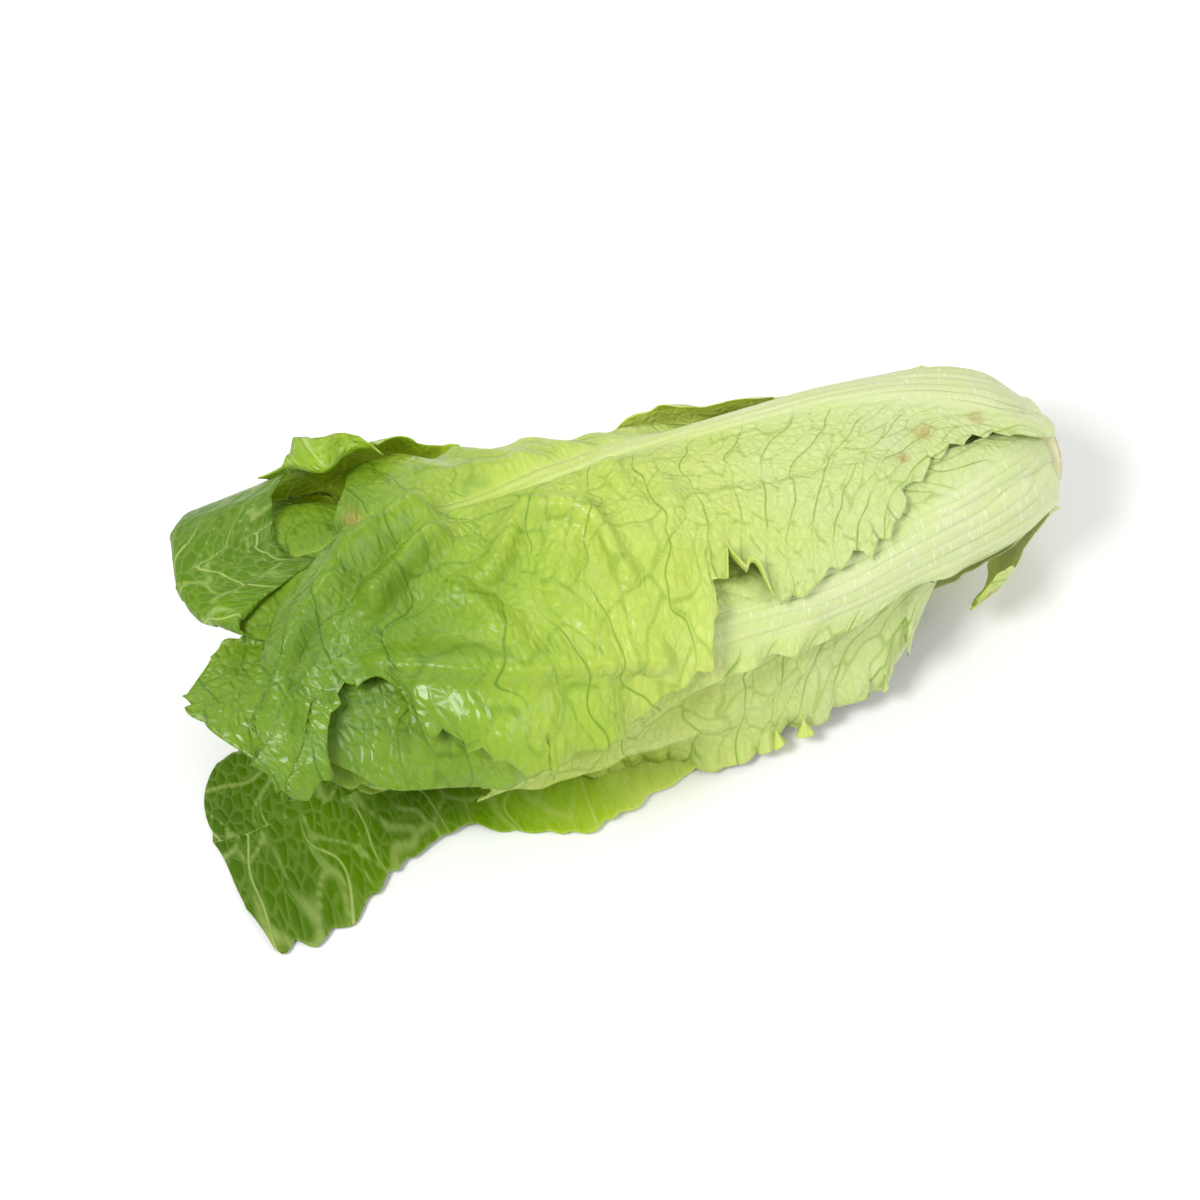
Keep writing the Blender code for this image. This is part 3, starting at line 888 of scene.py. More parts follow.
    def curled(self, radius: Grid) -> tuple[Grid, Grid, Grid]:
        """Rolls each of the leaf's curled margins.

        Args:
            radius: The inner face's radius before.

        Returns:
            Station, angle and radius after.
        """
        station, angle = self.station, self.angle
        for curl in self.leaf.curls:
            if curl.side is Side.TIP:
                station, radius = self.tip_rolled(curl, station, radius)
            else:
                angle, radius = self.side_rolled(curl, angle, radius)
        return station, angle, radius

    def tone(self) -> Grid:
        """Greenness, read from the leaf's own curve, mottled, and paler on the rib.

        Returns:
            0 for a white rib to 1 for deep green, at each place.
        """
        curve = np.array(self.leaf.tones)
        tone = smooth_curve(self.station, curve[:, 0], curve[:, 1])
        tone = tone + 0.04 * self.noise(11, 0.03, 0.025)
        pale = np.clip(self.rib * 1.2, 0, 1) * (1 - self.along) ** 0.8
        return (tone * (1 - self.RIB_PALENESS * pale)).clip(0, 1)

    def bruise(self) -> Grid:
        """Brown marks: ragged blobs whose strength is a bell curve of the distance.

        Returns:
            How brown each place is, from 0 to 1.
        """
        total = np.zeros_like(self.station)
        girth = np.radians(1) * self.mean_radius(self.station, self.angle)
        ragged = Noise(self.leaf.seed + 13).layered(self.station * 160, self.away / 0.002)
        for station, angle, size in self.leaf.bruises:
            along = (self.station - station) * self.shape.length
            away = np.hypot(along, (self.angle - angle) * girth)
            total = np.maximum(total, np.exp(-((away / size) ** 2)) * (0.7 + 0.5 * ragged))
        return total.clip(0, 1)


def unit_normals(points: Grid) -> Grid:
    """Unit normals of a grid of points: the cross product of its two directions."""
    normals = np.cross(np.gradient(points, axis=0), np.gradient(points, axis=1))
    return normals / np.maximum(np.linalg.norm(normals, axis=-1, keepdims=True), 1e-12)


def sheet_mesh(
    name: str, inner: Grid, outer: Grid, fields: dict[str, Grid], uv: Grid
) -> bpy.types.Mesh:
    """A closed mesh from a sheet's inner and outer face, joined round the edge.

    Args:
        name: The mesh's name.
        inner: Grid of the inner face's points.
        outer: Grid of the outer face's points.
        fields: Point values that both faces share, by name.
        uv: Places on the flat leaf, in metres.

    Returns:
        The Blender mesh.
    """
    rows, columns = inner.shape[:2]
    count = rows * columns
    index = np.arange(count).reshape(rows, columns)
    corners = (index[:-1, :-1], index[:-1, 1:], index[1:, 1:], index[1:, :-1])
    inside = np.stack(corners, axis=-1).reshape(-1, 4)
    loop = np.concatenate([index[0, :-1], index[:-1, -1], index[-1, :0:-1], index[:0:-1, 0]])
    following = np.roll(loop, -1)
    rim = np.stack([following, loop, loop + count, following + count], axis=-1)
    faces = np.concatenate([inside, inside[:, ::-1] + count, rim])
    points = np.concatenate([inner.reshape(-1, 3), outer.reshape(-1, 3)])
    mesh = bpy.data.meshes.new(name)
    mesh.vertices.add(len(points))
    mesh.vertices.foreach_set("co", points.astype(np.float32).ravel())
    mesh.loops.add(faces.size)
    mesh.loops.foreach_set("vertex_index", faces.astype(np.int32).ravel())
    mesh.polygons.add(len(faces))
    mesh.polygons.foreach_set("loop_start", np.arange(0, faces.size, 4, dtype=np.int32))
    mesh.update(calc_edges=True)
    layer = mesh.uv_layers.new(name="UVMap")
    places = np.concatenate([uv.reshape(-1, 2), uv.reshape(-1, 2)])[faces.ravel()]
    layer.data.foreach_set("uv", places.astype(np.float32).ravel())
    face_side = np.concatenate([np.zeros(count), np.ones(count)])
    for key, values in {**fields, "outside": face_side}.items():
        values = np.asarray(values, np.float32).ravel()
        if len(values) == count:
            values = np.concatenate([values, values])
        mesh.attributes.new(key, "FLOAT", "POINT").data.foreach_set("value", values)
    mesh.shade_smooth()
    mesh.validate()
    return mesh


def placed(name: str, data: bpy.types.ID) -> bpy.types.Object:
    """A new object in the scene, at the origin, that shows this mesh, light or camera.

    Args:
        name: The object's name.
        data: What it shows.

    Returns:
        The object.
    """
    made = bpy.data.objects.new(name, data)
    bpy.context.scene.collection.objects.link(made)
    return made


class NodeBoard:
    """Writes one material's nodes."""

    def __init__(self, name: str) -> None:
        """Starts a material.

        Args:
            name: The material's name.
        """
        self.material = bpy.data.materials.new(name)
        self.material.use_nodes = True
        self.tree = self.material.node_tree
        self.shader = self.tree.nodes["Principled BSDF"]
        self.attributes: dict[str, Socket] = {}

    def put(self, socket: Socket, value: Socket | float | tuple) -> None:
        """Links a socket to another, or sets its value.

        Args:
            socket: The input.
            value: An output socket, a number or a colour.
        """
        if isinstance(value, Socket):
            self.tree.links.new(value, socket)
        else:
            socket.default_value = value

    def add(self, kind: str, inputs: dict | None = None, **settings: object) -> bpy.types.Node:
        """Adds a node.

        Args:
            kind: The node's type, without the ShaderNode in front.
            inputs: Values or sockets for its inputs, by name or number.
            settings: The node's own properties.

        Returns:
            The node.
        """
        node = self.tree.nodes.new("ShaderNode" + kind)
        for key, value in settings.items():
            setattr(node, key, value)
        for key, value in (inputs or {}).items():
            self.put(node.inputs[key], value)
        return node

    def dress(self, inputs: dict[str, Socket | float | tuple]) -> bpy.types.Material:
        """Sets the shader's own sockets.

        Args:
            inputs: Values or sockets by the input's name.

        Returns:
            The finished material.
        """
        for name, value in inputs.items():
            self.put(self.shader.inputs[name], value)
        return self.material

    def attribute(self, name: str) -> Socket:
        """A vertex attribute's value, from one node for each name.

        Args:
            name: The attribute's name.

        Returns:
            The value's socket.
        """
        if name not in self.attributes:
            self.attributes[name] = self.add("Attribute", attribute_name=name).outputs["Fac"]
        return self.attributes[name]

    def math(self, operation: str, *values: Socket | float, clamp: bool = False) -> Socket:
        """A Math node of up to three values."""
        node = self.add("Math", dict(enumerate(values)), operation=operation, use_clamp=clamp)
        return node.outputs[0]

    def times(self, first: Socket | float, second: Socket | float) -> Socket:
        """The product of two values."""
        return self.math("MULTIPLY", first, second)

    def larger(self, first: Socket | float, second: Socket | float) -> Socket:
        """The larger of two values."""
        return self.math("MAXIMUM", first, second)

    def raised(self, value: Socket, factor: float, base: Socket | float) -> Socket:
        """The base plus the value times the factor."""
        return self.math("MULTIPLY_ADD", value, factor, base)

    def eased(self, value: Socket, source: Span, result: Span = (0.0, 1.0)) -> Socket:
        """A Map Range node: the S curve from the source's span to the result's, held beyond."""
        inputs = dict(enumerate((value, *source, *result)))
        return self.add("MapRange", inputs, interpolation_type="SMOOTHSTEP").outputs[0]

    def near(self, distance: Socket, width: float) -> Socket:
        """1 where the distance is zero, falling by the S curve to 0 where it is the width."""
        return self.eased(distance, (0.0, width), (1.0, 0.0))

    def mix(
        self,
        share: Socket | float,
        first: Socket | tuple,
        second: Socket | tuple,
        blend: str = "MIX",
    ) -> Socket:
        """A colour Mix node.

        Args:
            share: How much of the second colour shows.
            first: The colour underneath.
            second: The colour on top.
            blend: The blend type.

        Returns:
            The colour's socket.
        """
        node = self.add("Mix", {0: share, 6: first, 7: second}, data_type="RGBA", blend_type=blend)
        return node.outputs[2]

    def ramp(self, at: Socket, stops: Stops) -> Socket:
        """A Color Ramp node.

        Args:
            at: The socket that it reads.
            stops: (place, display colour) pairs, at most 32.

        Returns:
            The colour's socket.
        """
        node = self.add("ValToRGB", {0: at})
        elements = node.color_ramp.elements
        elements.remove(elements[-1])
        elements[0].position, elements[0].color = stops[0][0], linear(*stops[0][1])
        for place, colour in stops[1:]:
            elements.new(place).color = linear(*colour)
        return node.outputs[0]

    def noise(self, place: Socket, scale: float, detail: float = 2.0) -> Socket:
        """A Noise Texture node's value."""
        inputs = {"Vector": place, "Scale": scale, "Detail": detail}
        return self.add("TexNoise", inputs).outputs[0]

    def stretched(self, place: Socket, scale: tuple[float, float, float]) -> Socket:
        """A Mapping node that only scales."""
        return self.add("Mapping", {"Vector": place, "Scale": scale}).outputs[0]

    def streaked(self, place: Socket, long: float, wide: float, detail: float = 2.0) -> Socket:
        """Noise with this many turns to a metre along the leaf and across it."""
        return self.noise(self.stretched(place, (long, wide, 1.0)), 1.0, detail)

    def bump(self, height: Socket, strength: float, depth: float) -> Socket:
        """A Bump node's normal, for heights up to the depth in metres."""
        inputs = {"Height": height, "Strength": strength, "Distance": depth}
        return self.add("Bump", inputs).outputs[0]


@dataclass(frozen=True)
class LeafFinish:
    """A living leaf's surface: paler and dull outside, deeper green and glossier inside.

    Scales are turns to a metre, and vein widths are in metres.
    """

    gloss: Gloss
    outside: Stops = (
        (0.00, (201, 211, 158)),
        (0.10, (198, 212, 140)),
        (0.25, (195, 211, 118)),
        (0.42, (182, 202, 86)),
        (0.58, (156, 184, 58)),
        (0.74, (122, 156, 36)),
        (0.88, (94, 130, 24)),
        (1.00, (72, 108, 22)),
    )
    inside: Stops = (
        (0.00, (210, 218, 160)),
        (0.20, (202, 217, 112)),
        (0.42, (162, 192, 48)),
        (0.62, (122, 160, 16)),
        (0.82, (90, 128, 8)),
        (1.00, (66, 100, 10)),
    )
    dark_vein: Colour = (164, 196, 104)
    pale_vein: Colour = (198, 214, 128)
    streak: Colour = (226, 232, 192)
    # painted highlight: the near-white colour of tiny glints across the rib
    painted_glint: Colour = (246, 248, 226)
    brown: Colour = (164, 124, 66)
    roughness: float = 0.38
    mottle_scale: float = 45.0
    freckle_scale: float = 420.0
    net_scale: float = 300.0
    fading_scale: float = 38.0
    side_vein_width: float = 0.0006
    small_vein_width: float = 0.0010
    bump_depth: float = 0.0010

    def make(self) -> bpy.types.Material:
        """Builds the material.

        The colour runs with the tone attribute. Outside, veins are darker lines, and inside
        they are paler. A net of fine cells, 3 mm across, and fine wrinkles give the bump.

        Returns:
            The material.
        """
        board = NodeBoard("lettuce leaf, " + self.gloss.name.lower())
        place = board.add("UVMap", uv_map="UVMap").outputs[0]
        blade = board.math("SUBTRACT", 1.0, board.eased(board.attribute("rib"), (0.15, 0.6)))
        mottle = board.noise(place, self.mottle_scale, 3.0)
        streaks = board.streaked(place, 14.0, 620.0)
        cells = {"Vector": place, "Scale": self.net_scale}
        net = board.add("TexVoronoi", cells, feature="DISTANCE_TO_EDGE").outputs["Distance"]
        line = self.veins(board, place, net, blade)
        height = self.height(board, place, net, blade, streaks)
        return board.dress({
            "Base Color": self.colour(board, place, mottle, streaks, line),
            "Normal": board.bump(height, 0.6, self.bump_depth),
            "Roughness": self.roughened(board, mottle),
            "Specular IOR Level": self.gloss.value,
            "Subsurface Weight": 0.18,
            "Subsurface Scale": 0.004,
            "Subsurface Radius": (1.0, 1.0, 0.3),
            "Coat Weight": 0.06,
            "Coat Roughness": 0.22,
        })

    def veins(self, board: NodeBoard, place: Socket, net: Socket, blade: Socket) -> Socket:
        """Lines of every size: side veins that come and go, small veins and a fine net.

        The distance to a side vein is the gap from the phase to the nearest whole number over
        the phase's steepness. Side veins fade out where the phase is shallow.

        Args:
            board: The material's board.
            place: The flat leaf's coordinates.
            net: Distance to the fine cells' borders.
            blade: 1 on the blade and 0 on the rib.

        Returns:
            How much of a vein each place shows.
        """
        phase, steepness = board.attribute("phase"), board.attribute("steepness")
        gap = board.math("ABSOLUTE", board.math("SUBTRACT", phase, board.math("ROUND", phase)))
        away = board.math("DIVIDE", gap, steepness)
        side_vein = board.times(board.near(away, self.side_vein_width), blade)
        fading = board.noise(place, self.fading_scale)
        side_vein = board.times(side_vein, board.eased(fading, (0.34, 0.56), (0.25, 1.0)))
        side_vein = board.times(side_vein, board.eased(steepness, (14.0, 34.0)))
        border = board.attribute("border")
        small_vein = board.times(board.near(border, self.small_vein_width), blade)
        fine_line = board.times(board.near(net, 0.16), blade)
        line = board.larger(side_vein, board.times(small_vein, 0.6))
        return board.larger(line, board.times(fine_line, 0.18))

    def colour(
        self, board: NodeBoard, place: Socket, mottle: Socket, streaks: Socket, line: Socket
    ) -> Socket:
        """The tone's colour on either face, with veins, then the rib's streaks, painted glints (a
        painted highlight) and bruises.

        Args:
            board: The material's board.
            place: The flat leaf's coordinates.
            mottle: Broad noise.
            streaks: Noise drawn out along the rib.
            line: How much of a vein each place shows.

        Returns:
            The base colour.
        """
        tone = board.attribute("tone")
        freckle = board.noise(place, self.freckle_scale)
        shift = board.math("ADD", board.raised(mottle, 0.22, -0.11), -0.05)
        tint = board.math("ADD", tone, board.raised(freckle, 0.10, shift), clamp=True)
        outer, inner = board.ramp(tint, self.outside), board.ramp(tint, self.inside)
        darker = board.mix(1.0, outer, linear(*self.dark_vein), "MULTIPLY")
        outer = board.mix(board.times(line, 0.90), outer, darker)
        inner = board.mix(board.times(line, 0.55), inner, linear(*self.pale_vein))
        colour = board.mix(board.attribute("outside"), inner, outer)
        pale_rib = board.eased(tone, (0.15, 0.50), (1.0, 0.2))
        pale_rib = board.times(board.attribute("rib"), pale_rib)
        streak = board.times(board.eased(streaks, (0.42, 0.68)), pale_rib)
        colour = board.mix(board.times(streak, 0.30), colour, linear(*self.streak))
        # Painted highlight: tiny near-white glints across the pale rib, mixed into the base colour.
        painted_glint = board.eased(board.streaked(place, 1300.0, 300.0), (0.58, 0.70))
        painted_glint = board.times(painted_glint, pale_rib)
        colour = board.mix(board.times(painted_glint, 0.45), colour, linear(*self.painted_glint))
        return board.mix(board.attribute("bruise"), colour, linear(*self.brown))

    def height(
        self, board: NodeBoard, place: Socket, net: Socket, blade: Socket, streaks: Socket
    ) -> Socket:
        """The bump's height: a pillow in each fine cell, wrinkles, and lines on the rib.

        Args:
            board: The material's board.
            place: The flat leaf's coordinates.
            net: Distance to the fine cells' borders.
            blade: 1 on the blade and 0 on the rib.
            streaks: Noise drawn out along the rib.

        Returns:
            The height, as a share of the bump's depth.
        """
        cross = board.streaked(place, 700.0, 90.0)
        wrinkle = board.streaked(place, 240.0, 520.0, 3.0)
        pillow = board.times(board.eased(net, (0.0, 0.35)), blade)
        height = board.raised(pillow, 0.5, board.times(wrinkle, 0.35))
        ribbed = board.times(board.attribute("rib"), board.raised(streaks, 0.7, cross))
        return board.raised(ribbed, 0.5, height)

    def roughened(self, board: NodeBoard, mottle: Socket) -> Socket:
        """Roughness: patchy, lower on green tones, higher on bruises and the outer face.

        Args:
            board: The material's board.
            mottle: Broad noise.

        Returns:
            The roughness.
        """
        least, most = self.roughness - 0.08, self.roughness + 0.12
        patchy = board.eased(mottle, (0.3, 0.7), (least, most))
        waxy = board.eased(board.attribute("tone"), (0.15, 0.6), (0.06, -0.06))
        rough = board.raised(board.attribute("bruise"), 0.3, board.math("ADD", patchy, waxy))
        return board.raised(board.attribute("outside"), 0.04, rough)


@dataclass(frozen=True)
class CutStemFinish:
    """The stem: pale flesh with a ring of fibre bundles, browned on the cut face.

    The ring and the rind are given as distances from the axis, and the face as a distance
    from the butt, all in metres.
    """

    flesh: Colour = (222, 222, 178)
    greenish: Colour = (198, 206, 150)
    browned: Colour = (168, 118, 64)
    ring: float = 0.0088
    ring_width: float = 0.0022
    rind: Span = (0.0118, 0.0140)
    face: Span = (-0.0016, -0.0002)
    bundle_scale: float = 420.0
    patch_scale: float = 160.0
    grain_scale: float = 900.0

    def make(self, shape: HeadShape) -> bpy.types.Material:
        """Builds the material.

        Args:
            shape: The head's form, for the butt and the axis.

        Returns:
            The material.
        """
        board = NodeBoard("cut stem")
        place = board.add("TexCoord").outputs["Object"]
        butt = (-shape.butt_x, -shape.axis_y, -shape.axis_z)
        centred = board.add("Mapping", {"Vector": place, "Location": butt}).outputs[0]
        flat = board.stretched(centred, (0.0, 1.0, 1.0))
        spread = board.add("VectorMath", {0: flat}, operation="LENGTH").outputs["Value"]
        on_face = board.eased(board.add("SeparateXYZ", {0: centred}).outputs[0], self.face)
        off_ring = board.math("ABSOLUTE", board.math("SUBTRACT", spread, self.ring))
        cells = {"Vector": flat, "Scale": self.bundle_scale}
        bundle = board.near(board.add("TexVoronoi", cells).outputs["Distance"], 0.3)
        spots = board.times(bundle, board.near(off_ring, self.ring_width))
        patch = board.noise(centred, self.patch_scale, 4.0)
        stain = board.times(board.eased(patch, (0.36, 0.66)), on_face)
        stain = board.larger(board.times(spots, 0.6), stain)
        rind = board.times(board.eased(spread, self.rind), on_face)
        stain = board.larger(stain, board.times(rind, 0.75))
        colour = board.mix(stain, linear(*self.flesh), linear(*self.browned))
        height = board.raised(spots, 0.6, board.noise(centred, self.grain_scale, 3.0))
        return board.dress({
            "Base Color": board.mix(board.times(patch, 0.3), colour, linear(*self.greenish)),
            "Normal": board.bump(height, 0.5, 0.0005),
            "Roughness": board.eased(patch, (0.3, 0.7), (0.42, 0.66)),
            "Subsurface Weight": 0.2,
            "Subsurface Scale": 0.004,
        })


@dataclass
class LeafPiece:
    """Builds one leaf over the bed and dresses it."""

    LEAST_HEIGHT = 0.0012

    shape: HeadShape
    leaf: Leaf

    def build(self, bed: Bed, finish: bpy.types.Material) -> bpy.types.Object:
        """Makes the leaf's closed sheet, lays it on the bed and hands it to the frame.

        The outer face is the inner face moved along its normals by the thickness.

        Args:
            bed: The leaves laid so far.
            finish: The leaf's material.

        Returns:
            The finished piece.
        """
        surface, shape, leaf = LeafSurface(self.shape, self.leaf), self.shape, self.leaf
        thickness = surface.thickness()
        radius = surface.radii(bed)
        if leaf.sprawl:
            radius = surface.on_surface(radius, thickness)
        inner = shape.to_space(*surface.curled(radius))
        least = 0.0 if leaf.sprawl else self.LEAST_HEIGHT
        inner[..., 2] = np.maximum(inner[..., 2], least + thickness)
        outer = inner + unit_normals(inner) * thickness[..., None]
        outer[..., 2] = np.maximum(outer[..., 2], least)
        bed.lay(outer)
        bed.lay(inner)
        uv = np.stack([surface.station * shape.length, surface.away], axis=-1)
        fields = {
            "tone": surface.tone(),
            "rib": surface.rib,
            "phase": surface.phase,
            "steepness": surface.steepness,
            "border": surface.border,
            "bruise": surface.bruise(),
        }
        mesh = sheet_mesh(leaf.name, inner, outer, fields, uv)
        mesh.materials.append(finish)
        piece = placed(leaf.name + "_look", mesh)
        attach(piece, ROOT)
        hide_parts(leaf.name)
        return piece


@dataclass
class StemPiece:
    """The stem: a turned root end with a slightly domed, uneven cut face."""

    shape: HeadShape
    rings: int = 90
    sides: int = 144
    face_rings: int = 24
    bevel: float = 0.0012
    dome: float = 0.0011
    unevenness: float = 0.0003
    groove: float = 0.0003

    def points(self) -> Grid:
        """The grid of points: the cut face's rings from its middle out, then the side's.

        The radius grows straight over the cut face and follows the stem's profile after it.
        The cut face is domed by 1 less the square of the share out, and marked with low noise.
        The side has shallow grooves of noise.

        Returns:
            Points in metres, a row for each ring.
        """
        shape = self.shape
        turn = np.linspace(0, 360, self.sides, endpoint=False)[None, :]
        out = np.linspace(0.03, 1, self.face_rings)[:, None]
        right, up = out * 6 * np.cos(np.radians(turn)), out * 6 * np.sin(np.radians(turn))
        rough = Noise(71).layered(right, up)
        depth = self.dome * (1 - out**2) + self.unevenness * (rough + 1)
        face_radius = out * (shape.stem_radius - self.bevel)
        side_ends = self.bevel / shape.length, shape.stem_length / shape.length
        side_station = np.linspace(*side_ends, self.rings)[:, None]
        grooves = self.groove * (1 + Noise(72).layered(side_station * 90, turn / 12))
        side_radius = shape.core_radius(side_station) - grooves
        station = np.concatenate([depth / shape.length, side_station + 0 * turn])
        radius = np.concatenate([face_radius + 0 * turn, side_radius])
        return shape.to_space(station, turn, radius)

    def build(self) -> bpy.types.Object:
        """Joins the rings by quads, closes both ends with a fan and dresses the stem.

        Returns:
            The finished piece.
        """
        shape, points = self.shape, self.points()
        middle = (shape.butt_x - points[0, :, 0].mean()) / shape.length
        ends = np.array([middle, shape.stem_length / shape.length])
        tips = shape.to_space(ends, 0.0, 0.0)
        index = np.arange(points.shape[0] * self.sides).reshape(-1, self.sides)
        turned = np.roll(index, -1, axis=1)
        quads = np.stack([index[:-1], index[1:], turned[1:], turned[:-1]], axis=-1).reshape(-1, 4)
        first, last = np.full(self.sides, index.size), np.full(self.sides, index.size + 1)
        near = np.stack([first, index[0], turned[0]], axis=-1)
        far = np.stack([last, turned[-1], index[-1]], axis=-1)
        mesh = bpy.data.meshes.new("stem_look")
        vertices = np.concatenate([points.reshape(-1, 3), tips])
        mesh.from_pydata(vertices.tolist(), [], quads.tolist() + near.tolist() + far.tolist())
        mesh.shade_smooth()
        mesh.materials.append(CutStemFinish().make(shape))
        piece = placed("stem_look", mesh)
        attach(piece, ROOT)
        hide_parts("stem")
        return piece


